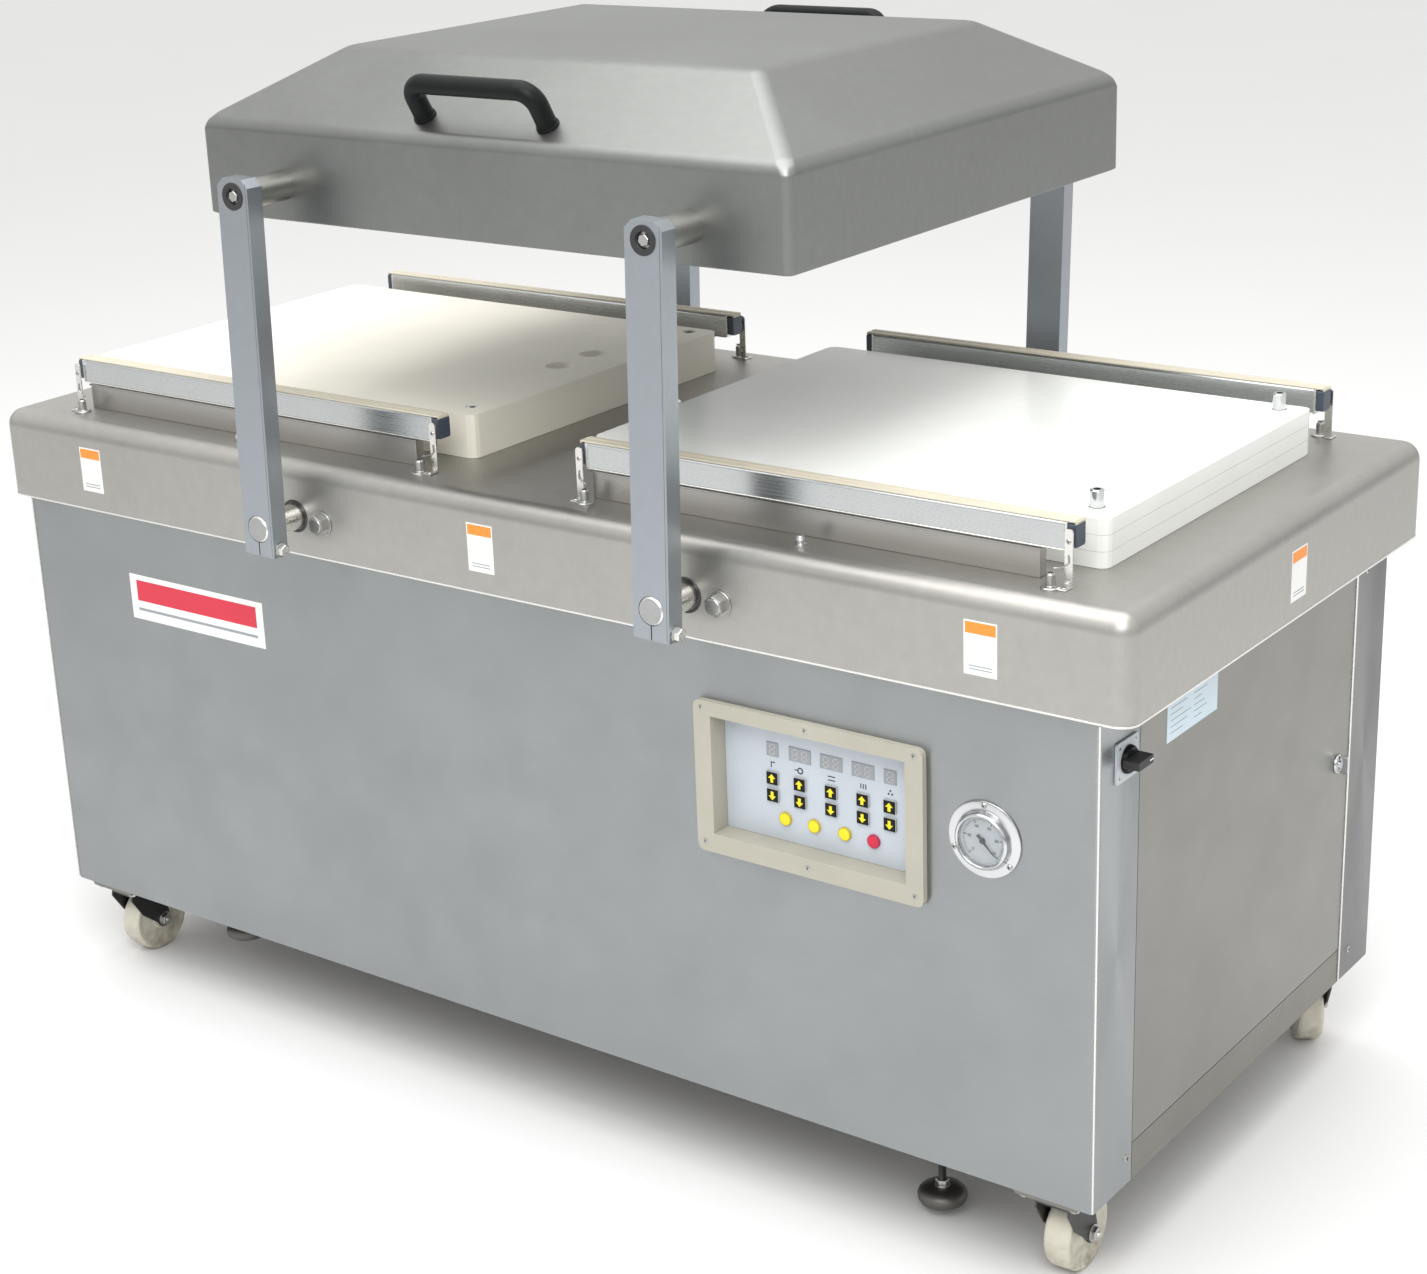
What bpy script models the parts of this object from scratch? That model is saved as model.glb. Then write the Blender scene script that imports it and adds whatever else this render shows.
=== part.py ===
"""Double-chamber vacuum sealer with one lid that swings from chamber to chamber.

A hollow cabinet stands on casters and carries a deck with two packing places.
The lid hangs between four arms of equal length, so it stays level as it swings.
Units are metres. +X runs along the machine, the operator stands at -Y and +Z is up.
The origin is on the floor, under the middle of the machine.
"""

import math

import bmesh
import bpy
from mathutils import Matrix, Vector

GAP = 0.0004  # between meshes that would touch

# Deck: a plate with a skirt all round
DECK_HALF_LENGTH = 0.900
DECK_HALF_DEPTH = 0.400
DECK_TOP = 0.858
DECK_SKIRT = 0.1255
DECK_EDGE_RADIUS = 0.024
DECK_PLATE = 0.005
SKIRT_WALL = 0.004

# Cabinet: a pan, two folded panels, a fixed side panel and a door
CABINET_HALF = 0.862
CABINET_FRONT = -0.394
CABINET_BACK = 0.388
CABINET_BOTTOM = 0.130
PANEL_TOP = 0.750
FRONT_POST_EDGE = -0.3015
REAR_POST_EDGE = 0.288
RAIL_TOP = 0.178
RAIL_INNER = 0.850
SHEET = 0.003
PAN_FLOOR = 0.004
SEAM = 0.001
FLANGE = 0.014
DOOR_TOP = DECK_TOP - DECK_SKIRT - 0.002
GLAND = Vector((0.72, CABINET_BACK, 0.22))
VENT_CENTRES = (-0.42, 0.42)
VENT_BOTTOM = 0.30
VENT_PITCH = 0.024
VENT_ROWS = 8
VENT_HALF = 0.09
VENT_HEIGHT = 0.007

# Chambers: where the packing places lie along the deck
CHAMBER_X = 0.456
SEAL_BAR_Y = 0.322
SEAL_BAR_HALF = 0.342
SEAL_BAR_DEPTH = 0.026
SEAL_BAR_BOTTOM = 0.897
SEAL_BAR_TOP = 0.932
CHANNEL_TOP = 0.893
POST_OFFSET = 0.321
POST_Y = 0.352
BOARD_TOP = 0.916
BOARD_Y = (-0.268, 0.272)
RIGHT_BOARD_X = (0.083, 0.800)
LEFT_BOARD_X = (-0.832, -0.115)
BOARD_CORNER = 0.012
PIN_RADIUS = 0.0085
PIN_RISE = {"right": 0.020, "left": -0.001}
PIN_SITES = {
    "right": ((0.766, -0.228), (0.765, 0.250)),
    "left": ((-0.149, -0.228), (-0.150, 0.250)),
}
FINGER_SITES = {
    "right": ((0.726, 0.000), (0.727, 0.074)),
    "left": ((-0.188, 0.000), (-0.190, 0.077)),
}
FINGER_DEPTH = 0.016
FINGER_RADIUS = 0.020

# Swing linkage
PIVOT_X = 0.3196
PIVOT_Z = 0.786
ARM_RISE = 0.4324
ARM_SHIFT = 0.0119
ARM_LEAN = math.atan2(ARM_SHIFT, ARM_RISE)
ARM_LENGTH = math.hypot(ARM_SHIFT, ARM_RISE)
ARM_WIDTH = 0.052
ARM_BACK_Y = 0.442
ARM_FRONT_Y = 0.467
ARM_TAIL = 0.036
ARM_HEAD = 0.022
SHAFT_RADIUS = 0.0175
SHAFT_HALF = 0.4685
SPIGOT_RADIUS = 0.008

# Lid: a skirt under a hipped roof
LID_X = ARM_SHIFT
LID_HALF_LENGTH = 0.457
LID_HALF_DEPTH = 0.3816
LID_RIM = 1.175
LID_EAVE = 1.294
LID_ROOF = 1.377
ROOF_INSET_X = 0.135
ROOF_INSET_Y = 0.140
LID_WALL = 0.003
LID_RADIUS = 0.012
GASKET_WIDTH = 0.010
COUNTER_BAR_BOTTOM = 1.256
HANDLE_SPAN = 0.192
HANDLE_RISE = 0.051
HANDLE_RADIUS = 0.0135
HANDLE_FOOT_Y = 0.350

# Control housing, gauge and switch
HOUSING_X = (0.326, 0.645)
HOUSING_Z = (0.464, 0.659)
HOUSING_FRONT = -0.403
POCKET_X = (0.3505, 0.6215)
POCKET_Z = (0.4885, 0.6405)
KEY_FACE = -0.374
KEY_PLATE = 0.003
KEY_COLUMNS = (0.420, 0.459, 0.503, 0.547, 0.584)
KEY_ROWS = {"up": 0.567, "down": 0.545}
KEY_SIZE = 0.017
KEY_PROUD = 0.004
ROUND_KEYS = {"start": 0.437, "program": 0.478, "air": 0.521, "stop": 0.561}
ROUND_KEY_Z = 0.518
GAUGE = Vector((0.721, CABINET_FRONT, 0.566))
NEEDLE_REST = math.radians(135)
SWITCH = Vector((CABINET_HALF, -0.336, 0.673))
LATCH = Vector((CABINET_HALF, 0.254, 0.457))

# Running gear
CASTER_SITE = {"front": (0.797, -0.347), "rear": (0.810, 0.326)}
CASTER_TURN = {"rear_right": math.radians(35)}  # the others trail straight to the rear
CASTER_TRAIL = 0.034
CASTER_PLATE_BOTTOM = 0.1205
WHEEL_RADIUS = 0.050
WHEEL_HALF = 0.018
AXLE_RADIUS = 0.006
FOOT_X = 0.605
FOOT_Y = 0.300
FOOT_LENGTH = 0.160
FOOT_SCREW_RADIUS = 0.005
FOOT_REST = {"front_left": 0.063, "front_right": 0.016, "rear_left": 0.063, "rear_right": 0.063}

FINISHES = {
    "satin_stainless": ((0.60, 0.59, 0.56), 0.38, 1.0),
    "brushed_panel": ((0.50, 0.52, 0.53), 0.30, 1.0),
    "anodised_aluminium": ((0.66, 0.70, 0.73), 0.42, 1.0),
    "polished_steel": ((0.70, 0.70, 0.70), 0.15, 1.0),
    "white_board": ((0.80, 0.79, 0.74), 0.45, 0.0),
    "beige_plastic": ((0.72, 0.68, 0.56), 0.50, 0.0),
    "black_plastic": ((0.02, 0.02, 0.02), 0.25, 0.0),
    "yellow_plastic": ((0.85, 0.75, 0.02), 0.40, 0.0),
    "red_plastic": ((0.75, 0.03, 0.10), 0.40, 0.0),
    "grey_plastic": ((0.45, 0.47, 0.50), 0.50, 0.0),
    "dark_rubber": ((0.03, 0.03, 0.03), 0.80, 0.0),
    "nylon_wheel": ((0.80, 0.78, 0.70), 0.50, 0.0),
    "pump_paint": ((0.10, 0.16, 0.22), 0.50, 0.0),
}


# ---------------------------------------------------------------- shapes

def box(low, high):
    """A closed box between two corners."""
    low, high = Vector(low), Vector(high)
    frame = Matrix.Translation((low + high) / 2) @ Matrix.Diagonal((*(high - low), 1))
    shape = bmesh.new()
    bmesh.ops.create_cube(shape, size=1, matrix=frame)
    return shape


def rounded(shape, radius, segments, wanted):
    """Round the edges of a shape that wanted(edge) picks."""
    edges = [edge for edge in shape.edges if wanted(edge)]
    bmesh.ops.bevel(shape, geom=edges, offset=radius, segments=segments, profile=0.5, affect="EDGES")
    return shape


def along(axis):
    """A test for edges that run along one axis, 0 to 2."""
    def test(edge):
        step = edge.verts[1].co - edge.verts[0].co
        return abs(step[axis]) > 0.999 * step.length
    return test


def not_on_floor_of(level):
    """A test for every edge but those that lie at a height."""
    def test(edge):
        return any(vert.co.z > level + 1e-4 for vert in edge.verts)
    return test


def rod(start, end, radius, sides=24):
    """A closed cylinder between two points."""
    start, end = Vector(start), Vector(end)
    turn = (end - start).to_track_quat("Z", "Y").to_matrix().to_4x4()
    shape = bmesh.new()
    bmesh.ops.create_cone(
        shape, cap_ends=True, segments=sides, radius1=radius, radius2=radius,
        depth=(end - start).length, matrix=Matrix.Translation((start + end) / 2) @ turn,
    )
    return shape


def prism(outline, axis, low, high):
    """An outline of the two other coordinates, pulled along one axis."""
    shape = bmesh.new()
    others = [index for index in range(3) if index != axis]
    corners = []
    for first, second in outline:
        point = Vector((0, 0, 0))
        point[axis] = low
        point[others[0]] = first
        point[others[1]] = second
        corners.append(shape.verts.new(point))
    face = shape.faces.new(corners)
    pulled = bmesh.ops.extrude_face_region(shape, geom=[face])
    step = Vector((0, 0, 0))
    step[axis] = high - low
    moved = [item for item in pulled["geom"] if isinstance(item, bmesh.types.BMVert)]
    bmesh.ops.translate(shape, verts=moved, vec=step)
    bmesh.ops.recalc_face_normals(shape, faces=shape.faces)
    return shape


def turned(profile, origin, axis, sides=32):
    """A profile of (radius, distance) points, turned about an axis through origin."""
    frame = Vector(axis).to_track_quat("Z", "Y").to_matrix().to_4x4()
    frame = Matrix.Translation(origin) @ frame
    shape = bmesh.new()
    rings = []
    for radius, distance in profile:
        if radius == 0:
            rings.append([shape.verts.new(frame @ Vector((0, 0, distance)))])
            continue
        ring = []
        for index in range(sides):
            angle = 2 * math.pi * index / sides
            point = Vector((radius * math.cos(angle), radius * math.sin(angle), distance))
            ring.append(shape.verts.new(frame @ point))
        rings.append(ring)
    closed = profile[0][0] > 0
    for one, two in zip(rings, rings[1:] + rings[:1] if closed else rings[1:]):
        for index in range(sides):
            after = (index + 1) % sides
            start, end = one[index % len(one)], one[after % len(one)]
            corners = (start, end, two[after % len(two)], two[index % len(two)])
            shape.faces.new(list(dict.fromkeys(corners)))
    bmesh.ops.recalc_face_normals(shape, faces=shape.faces)
    return shape


def swept(points, section, tilt):
    """A tube of a closed section along points that lie in one plane with normal tilt."""
    shape = bmesh.new()
    rings = []
    for index, point in enumerate(points):
        before = points[max(index - 1, 0)]
        after = points[min(index + 1, len(points) - 1)]
        ahead = (after - before).normalized()
        side = ahead.cross(tilt).normalized()
        rings.append([shape.verts.new(point + side * a + tilt * b) for a, b in section])
    count = len(section)
    for one, two in zip(rings, rings[1:]):
        for index in range(count):
            after = (index + 1) % count
            shape.faces.new((one[index], one[after], two[after], two[index]))
    shape.faces.new(rings[0])
    shape.faces.new(rings[-1])
    bmesh.ops.recalc_face_normals(shape, faces=shape.faces)
    return shape


def arc(centre, radius, start, end, steps):
    """Points on an arc, angles in degrees."""
    angles = [math.radians(start + (end - start) * index / steps) for index in range(steps + 1)]
    return [(centre[0] + radius * math.cos(a), centre[1] + radius * math.sin(a)) for a in angles]


# ---------------------------------------------------------------- objects

def finish_material(name):
    """The material of one finish, made once."""
    if name in bpy.data.materials:
        return bpy.data.materials[name]
    colour, roughness, metallic = FINISHES[name]
    material = bpy.data.materials.new(name)
    material.use_nodes = True
    shader = material.node_tree.nodes["Principled BSDF"]
    shader.inputs["Base Color"].default_value = (*colour, 1)
    shader.inputs["Roughness"].default_value = roughness
    shader.inputs["Metallic"].default_value = metallic
    return material


def node(name, shape, finish, origin=(0, 0, 0), smooth=False):
    """An object from a shape in world coordinates, with its own origin."""
    bmesh.ops.translate(shape, verts=shape.verts, vec=-Vector(origin))
    mesh = bpy.data.meshes.new(name)
    shape.to_mesh(mesh)
    shape.free()
    if smooth:
        mesh.shade_smooth()
        mesh.set_sharp_from_angle(angle=math.radians(35))
    obj = bpy.data.objects.new(name, mesh)
    obj.location = origin
    mesh.materials.append(finish_material(finish))
    bpy.context.scene.collection.objects.link(obj)
    return obj


def combine(obj, operation, shapes):
    """Add one Boolean whose tool holds all the shapes, which don't touch each other."""
    merged = bmesh.new()
    for shape in shapes:
        mesh = bpy.data.meshes.new("part")
        shape.to_mesh(mesh)
        shape.free()
        merged.from_mesh(mesh)
        bpy.data.meshes.remove(mesh)
    mesh = bpy.data.meshes.new(f"{obj.name}_tool")
    merged.to_mesh(mesh)
    merged.free()
    tool = bpy.data.objects.new(f"{obj.name}_tool", mesh)
    tool.hide_render = True
    tool.display_type = "WIRE"
    bpy.context.scene.collection.objects.link(tool)
    modifier = obj.modifiers.new(operation.title(), "BOOLEAN")
    modifier.operation = operation
    modifier.solver = "EXACT"
    modifier.object = tool


def cut(obj, *shapes):
    """Take shapes away from an object."""
    combine(obj, "DIFFERENCE", shapes)


def weld(obj, *shapes):
    """Join shapes to an object."""
    combine(obj, "UNION", shapes)


# ---------------------------------------------------------------- cabinet

def build_base_pan():
    """A tray that carries the pump, with side rails, caster plates and foot holes."""
    clear = SHEET + 0.0005
    inner, front, back = CABINET_HALF - clear, CABINET_FRONT + clear, CABINET_BACK - clear
    outer = box((-inner, front, CABINET_BOTTOM), (inner, back, RAIL_TOP))
    pan = node("base_pan", outer, "brushed_panel")
    rails = []
    plates = []
    for side in (-1, 1):
        low_x, high_x = sorted((side * CABINET_HALF, side * RAIL_INNER))
        low = (low_x, FRONT_POST_EDGE + SEAM, CABINET_BOTTOM)
        rails.append(box(low, (high_x, REAR_POST_EDGE - SEAM, RAIL_TOP)))
        for x, y in CASTER_SITE.values():
            x *= side
            outline = [(x - 0.040, CASTER_PLATE_BOTTOM), (x + 0.040, CASTER_PLATE_BOTTOM),
                       (x + 0.046, CABINET_BOTTOM + 0.001), (x - 0.046, CABINET_BOTTOM + 0.001)]
            plates.append(prism(outline, 1, max(y - 0.040, front + 0.001), y + 0.040))
    weld(pan, *rails)
    low = (-RAIL_INNER - 0.005, front + SHEET, CABINET_BOTTOM + PAN_FLOOR)
    cut(pan, box(low, (RAIL_INNER + 0.005, back - SHEET, RAIL_TOP + 0.01)))
    weld(pan, *plates)
    holes = []
    for x in (-FOOT_X, FOOT_X):
        for y in (-FOOT_Y, FOOT_Y):
            holes.append(rod((x, y, 0.120), (x, y, 0.140), FOOT_SCREW_RADIUS + 0.0008, 16))
    cut(pan, *holes)


def folded_panel(name, face, edge):
    """A wide sheet folded back at both sides, from its face to its free edges."""
    low, high = sorted((face, edge))
    inward = 1 if edge > face else -1
    outer = box((-CABINET_HALF, low, CABINET_BOTTOM), (CABINET_HALF, high, PANEL_TOP))
    rounded(outer, 0.004, 3, lambda e: along(2)(e) and abs(e.verts[0].co.y - face) < 1e-5)
    panel = node(name, outer, "brushed_panel")
    ends = sorted((face + inward * SHEET, edge + inward * 0.01))
    inner = CABINET_HALF - SHEET
    cut(panel, box((-inner, ends[0], CABINET_BOTTOM - 0.01), (inner, ends[1], PANEL_TOP + 0.01)))
    return panel


def build_front_panel():
    """The front sheet, cut out for the control housing, the gauge and the switch."""
    panel = folded_panel("front_panel", CABINET_FRONT, FRONT_POST_EDGE)
    margin = 0.004
    pocket = box(
        (POCKET_X[0] - margin, CABINET_FRONT - 0.01, POCKET_Z[0] - margin),
        (POCKET_X[1] + margin, CABINET_FRONT + 0.01, POCKET_Z[1] + margin),
    )
    gauge = rod(GAUGE + Vector((0, -0.01, 0)), GAUGE + Vector((0, 0.01, 0)), 0.0325)
    switch = rod(SWITCH + Vector((-0.01, 0, 0)), SWITCH + Vector((0.01, 0, 0)), 0.0155)
    cut(panel, pocket, gauge, switch)


def build_rear_panel():
    """The rear sheet, with two groups of cooling slots and the hole of the cable gland."""
    panel = folded_panel("rear_panel", CABINET_BACK, REAR_POST_EDGE)
    through = Vector((0, 0.01, 0))
    holes = [rod(GLAND - through, GLAND + through, 0.0125)]
    for x in VENT_CENTRES:
        for row in range(VENT_ROWS):
            z = VENT_BOTTOM + VENT_PITCH * row
            low = Vector((x - VENT_HALF, CABINET_BACK, z)) - through
            high = Vector((x + VENT_HALF, CABINET_BACK, z + VENT_HEIGHT)) + through
            holes.append(box(low, high))
    cut(panel, *holes)


def side_tray(name, side, top):
    """A flat sheet with flanges folded in all round, on one side of the cabinet."""
    low = (FRONT_POST_EDGE + SEAM, RAIL_TOP + SEAM)
    high = (REAR_POST_EDGE - SEAM, top)
    outer, inner = side * CABINET_HALF, side * (CABINET_HALF - FLANGE)
    ends = sorted((outer, inner))
    shape = box((ends[0], *low), (ends[1], *high))
    tray = node(name, shape, "brushed_panel", (outer, low[0], RAIL_TOP))
    wall = 0.002
    hollow = sorted((outer - side * 0.0025, inner - side * 0.01))
    floor = (hollow[0], low[0] + wall, low[1] + wall)
    cut(tray, box(floor, (hollow[1], high[0] - wall, high[1] - wall)))
    return tray


def build_sides():
    """The fixed left panel, and the right door with its quarter-turn latch."""
    side_tray("left_side_panel", -1, PANEL_TOP)
    door = side_tray("side_door", 1, DOOR_TOP)
    cut(door, rod(LATCH + Vector((-0.01, 0, 0)), LATCH + Vector((0.01, 0, 0)), 0.0105))
    profile = [(0, -0.011), (0.0096, -0.011), (0.0096, GAP), (0.0130, GAP), (0.0120, 0.0030),
               (0.0070, 0.0034), (0.0070, 0.0060), (0, 0.0060)]
    latch = node("door_latch", turned(profile, LATCH, (1, 0, 0), 16), "polished_steel", LATCH, True)
    wing = box(LATCH + Vector((0.004, -0.0028, -0.013)), LATCH + Vector((0.015, 0.0028, 0.013)))
    weld(latch, rounded(wing, 0.0035, 2, along(1)))


def build_cable_gland():
    """The gland that the mains lead would enter by."""
    profile = [(0, -0.020), (0.0118, -0.020), (0.0118, GAP), (0.0165, GAP), (0.0165, 0.0060),
               (0.0120, 0.0180), (0.0050, 0.0200), (0.0050, 0.0040), (0, 0.0040)]
    node("cable_gland", turned(profile, GLAND, (0, 1, 0), 12), "black_plastic", GLAND, True)


def build_vacuum_pump():
    """The oil-sealed pump and its motor, on two rails in the pan."""
    floor = CABINET_BOTTOM + PAN_FLOOR + GAP
    pump = node("vacuum_pump", box((-0.40, -0.13, 0.165), (-0.10, 0.15, 0.410)), "pump_paint")
    weld(
        pump,
        rod((-0.15, 0.01, 0.290), (0.20, 0.01, 0.290), 0.095, 20),
        box((-0.42, -0.12, floor), (0.16, -0.08, 0.215)),
        box((-0.42, 0.10, floor), (0.16, 0.14, 0.215)),
    )
    weld(
        pump,
        box((0.00, -0.03, 0.370), (0.11, 0.05, 0.425)),
        rod((-0.33, 0.01, 0.400), (-0.33, 0.01, 0.450), 0.030, 14),
        rod((-0.20, 0.01, 0.400), (-0.20, 0.01, 0.435), 0.022, 14),
    )


# ---------------------------------------------------------------- deck

def peg(site, radius, top, chamfer, sides):
    """An upright round peg rooted in the deck plate."""
    root = DECK_TOP - 0.003
    profile = [(0, root), (radius, root), (radius, top - chamfer), (radius - chamfer, top), (0, top)]
    return turned(profile, (*site, 0), (0, 0, 1), sides)


def deck_fittings():
    """The pieces welded to the deck: channels, posts, nozzles, pins, port and bearings."""
    root = DECK_TOP - 0.003
    shapes = [rod((0, 0, root), (0, 0, DECK_TOP + 0.032), 0.019, 20)]
    for side in (-1, 1):
        centre = side * CHAMBER_X
        shapes.append(rod((centre, -0.358, root), (centre, -0.358, DECK_TOP + 0.012), 0.005, 8))
        for end in (-1, 1):
            y = end * SEAL_BAR_Y
            low, high = sorted((end * 0.3275, end * 0.3115))
            shapes.append(box((centre - 0.327, low, root), (centre + 0.294, high, CHANNEL_TOP)))
            for step in (-1, 1):
                x = centre + step * POST_OFFSET
                shapes.append(peg((x, end * POST_Y), 0.0055, DECK_TOP + 0.019, 0.002, 10))
            bearing = (side * PIVOT_X, end * (DECK_HALF_DEPTH - 0.002), PIVOT_Z)
            inside = (side * PIVOT_X, end * (DECK_HALF_DEPTH - 0.034), PIVOT_Z)
            shapes.append(rod(bearing, inside, 0.032, 16))
    for side, sites in PIN_SITES.items():
        for site in sites:
            shapes.append(peg(site, PIN_RADIUS, BOARD_TOP + PIN_RISE[side], 0.001, 16))
    return shapes


def build_deck():
    """The deck shell, open below, with its fittings and the bores of the two shafts."""
    length, depth, bottom = DECK_HALF_LENGTH, DECK_HALF_DEPTH, DECK_TOP - DECK_SKIRT
    outer = box((-length, -depth, bottom), (length, depth, DECK_TOP))
    rounded(outer, DECK_EDGE_RADIUS, 4, not_on_floor_of(bottom))
    deck = node("deck", outer, "satin_stainless", smooth=True)
    low = bottom - 0.01
    inner, across = length - SKIRT_WALL, depth - SKIRT_WALL
    inside = box((-inner, -across, low), (inner, across, DECK_TOP - DECK_PLATE))
    cut(deck, rounded(inside, DECK_EDGE_RADIUS, 1, not_on_floor_of(low)))
    weld(deck, *deck_fittings())
    bores = []
    for x in (-PIVOT_X, PIVOT_X):
        for end in (-1, 1):
            mouth, inside = (x, end * (depth + 0.01), PIVOT_Z), (x, end * (depth - 0.05), PIVOT_Z)
            bores.append(rod(mouth, inside, SHAFT_RADIUS + 0.0012))
    cut(deck, *bores)


def board(name, side, low, high, finger_depth):
    """One filler board, bored for the pins, and for two fingers to a depth."""
    low_x, high_x = RIGHT_BOARD_X if side == "right" else LEFT_BOARD_X
    shape = box((low_x, BOARD_Y[0], low), (high_x, BOARD_Y[1], high))
    rounded(shape, BOARD_CORNER, 3, along(2))
    slab = node(name, shape, "white_board")
    holes = []
    for x, y in PIN_SITES[side]:
        holes.append(rod((x, y, low - 0.01), (x, y, high + 0.01), PIN_RADIUS + 0.0012, 16))
    if finger_depth:
        for x, y in FINGER_SITES[side]:
            holes.append(rod((x, y, high - finger_depth), (x, y, high + 0.01), FINGER_RADIUS, 20))
    cut(slab, *holes)


def build_boards():
    """Three boards in the right chamber and one thick board in the left."""
    bottom = DECK_TOP + GAP
    step = (BOARD_TOP - bottom) / 3
    for index, place in enumerate(("lower", "middle", "upper")):
        low = bottom + step * index
        depth = step + 0.01 if place == "upper" else 0
        board(f"right_filler_board_{place}", "right", low, low + step - GAP, depth)
    board("left_filler_board", "left", bottom, BOARD_TOP, FINGER_DEPTH)


def build_seal_bars():
    """Four bars that rise against the lid's counter bars, each on its own lift."""
    half, low, high = SEAL_BAR_DEPTH / 2, SEAL_BAR_BOTTOM, SEAL_BAR_TOP
    outline = [(-half, low), (half, low), (half, high - 0.004), (half - 0.005, high),
               (0.005 - half, high), (-half, high - 0.004)]
    for side, side_name in ((-1, "left"), (1, "right")):
        for end, end_name in ((-1, "front"), (1, "rear")):
            y, centre = end * SEAL_BAR_Y, side * CHAMBER_X
            section = [(y + across, z) for across, z in outline]
            shape = prism(section, 0, centre - SEAL_BAR_HALF, centre + SEAL_BAR_HALF)
            node(f"seal_bar_{end_name}_{side_name}", shape, "anodised_aluminium", (centre, y, low))


# ---------------------------------------------------------------- linkage and lid

def leaned(shape, side):
    """Move a shape from an upright arm's own frame to its place on the machine."""
    shape.transform(Matrix.Translation((side * PIVOT_X, 0, PIVOT_Z)) @ Matrix.Rotation(ARM_LEAN, 4, "Y"))
    return shape


def build_arms():
    """Four arms clamped on two through shafts."""
    half, chamfer = ARM_WIDTH / 2, 0.010
    top = ARM_LENGTH + ARM_HEAD
    outline = [(-half, -ARM_TAIL), (half, -ARM_TAIL), (half, top - chamfer), (half - chamfer, top),
               (chamfer - half, top), (-half, top - chamfer)]
    for side, side_name in ((-1, "left"), (1, "right")):
        pivot = (side * PIVOT_X, 0, PIVOT_Z)
        for end, end_name in ((-1, "front"), (1, "rear")):
            back, front = end * ARM_BACK_Y, end * ARM_FRONT_Y
            low, high = sorted((back, front))
            shape = leaned(prism(outline, 1, low, high), side)
            arm = node(f"arm_{end_name}_{side_name}", shape, "anodised_aluminium", pivot)
            low, high = low - 0.01, high + 0.01
            shaft_bore = rod((0, low, 0), (0, high, 0), SHAFT_RADIUS + 0.0006)
            stud_bore = rod((0, low, ARM_LENGTH), (0, high, ARM_LENGTH), SPIGOT_RADIUS + 0.0006, 16)
            cut(arm, leaned(shaft_bore, side), leaned(stud_bore, side))
            sunk, clear = front - end * 0.007, front + end * 0.01
            recess = rod((0, sunk, ARM_LENGTH), (0, clear, ARM_LENGTH), 0.0160, 20)
            slit = box((-0.0008, low, -ARM_TAIL - 0.01), (0.0008, high, -0.010))
            cut(arm, leaned(recess, side), leaned(slit, side))
        end, chamfered = SHAFT_HALF, SHAFT_RADIUS - 0.001
        profile = [(0, -end), (chamfered, -end), (SHAFT_RADIUS, 0.001 - end),
                   (SHAFT_RADIUS, end - 0.001), (chamfered, end), (0, end)]
        shaft = turned(profile, pivot, (0, 1, 0), 24)
        node(f"swing_shaft_{side_name}", shaft, "polished_steel", pivot, True)


def lid_surface():
    """The lid's outer skin: a skirt, four roof slopes and a flat top, open below."""
    shape = bmesh.new()
    rings = []
    levels = ((0, 0, LID_RIM), (0, 0, LID_EAVE), (ROOF_INSET_X, ROOF_INSET_Y, LID_ROOF))
    quarters = ((-1, -1), (1, -1), (1, 1), (-1, 1))
    for inset_x, inset_y, z in levels:
        a, b = LID_HALF_LENGTH - inset_x, LID_HALF_DEPTH - inset_y
        rings.append([shape.verts.new((LID_X + a * u, b * v, z)) for u, v in quarters])
    for one, two in zip(rings, rings[1:]):
        for index in range(4):
            after = (index + 1) % 4
            shape.faces.new((one[index], one[after], two[after], two[index]))
    shape.faces.new(rings[2])
    return rounded(shape, LID_RADIUS, 3, not_on_floor_of(LID_RIM))


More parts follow.
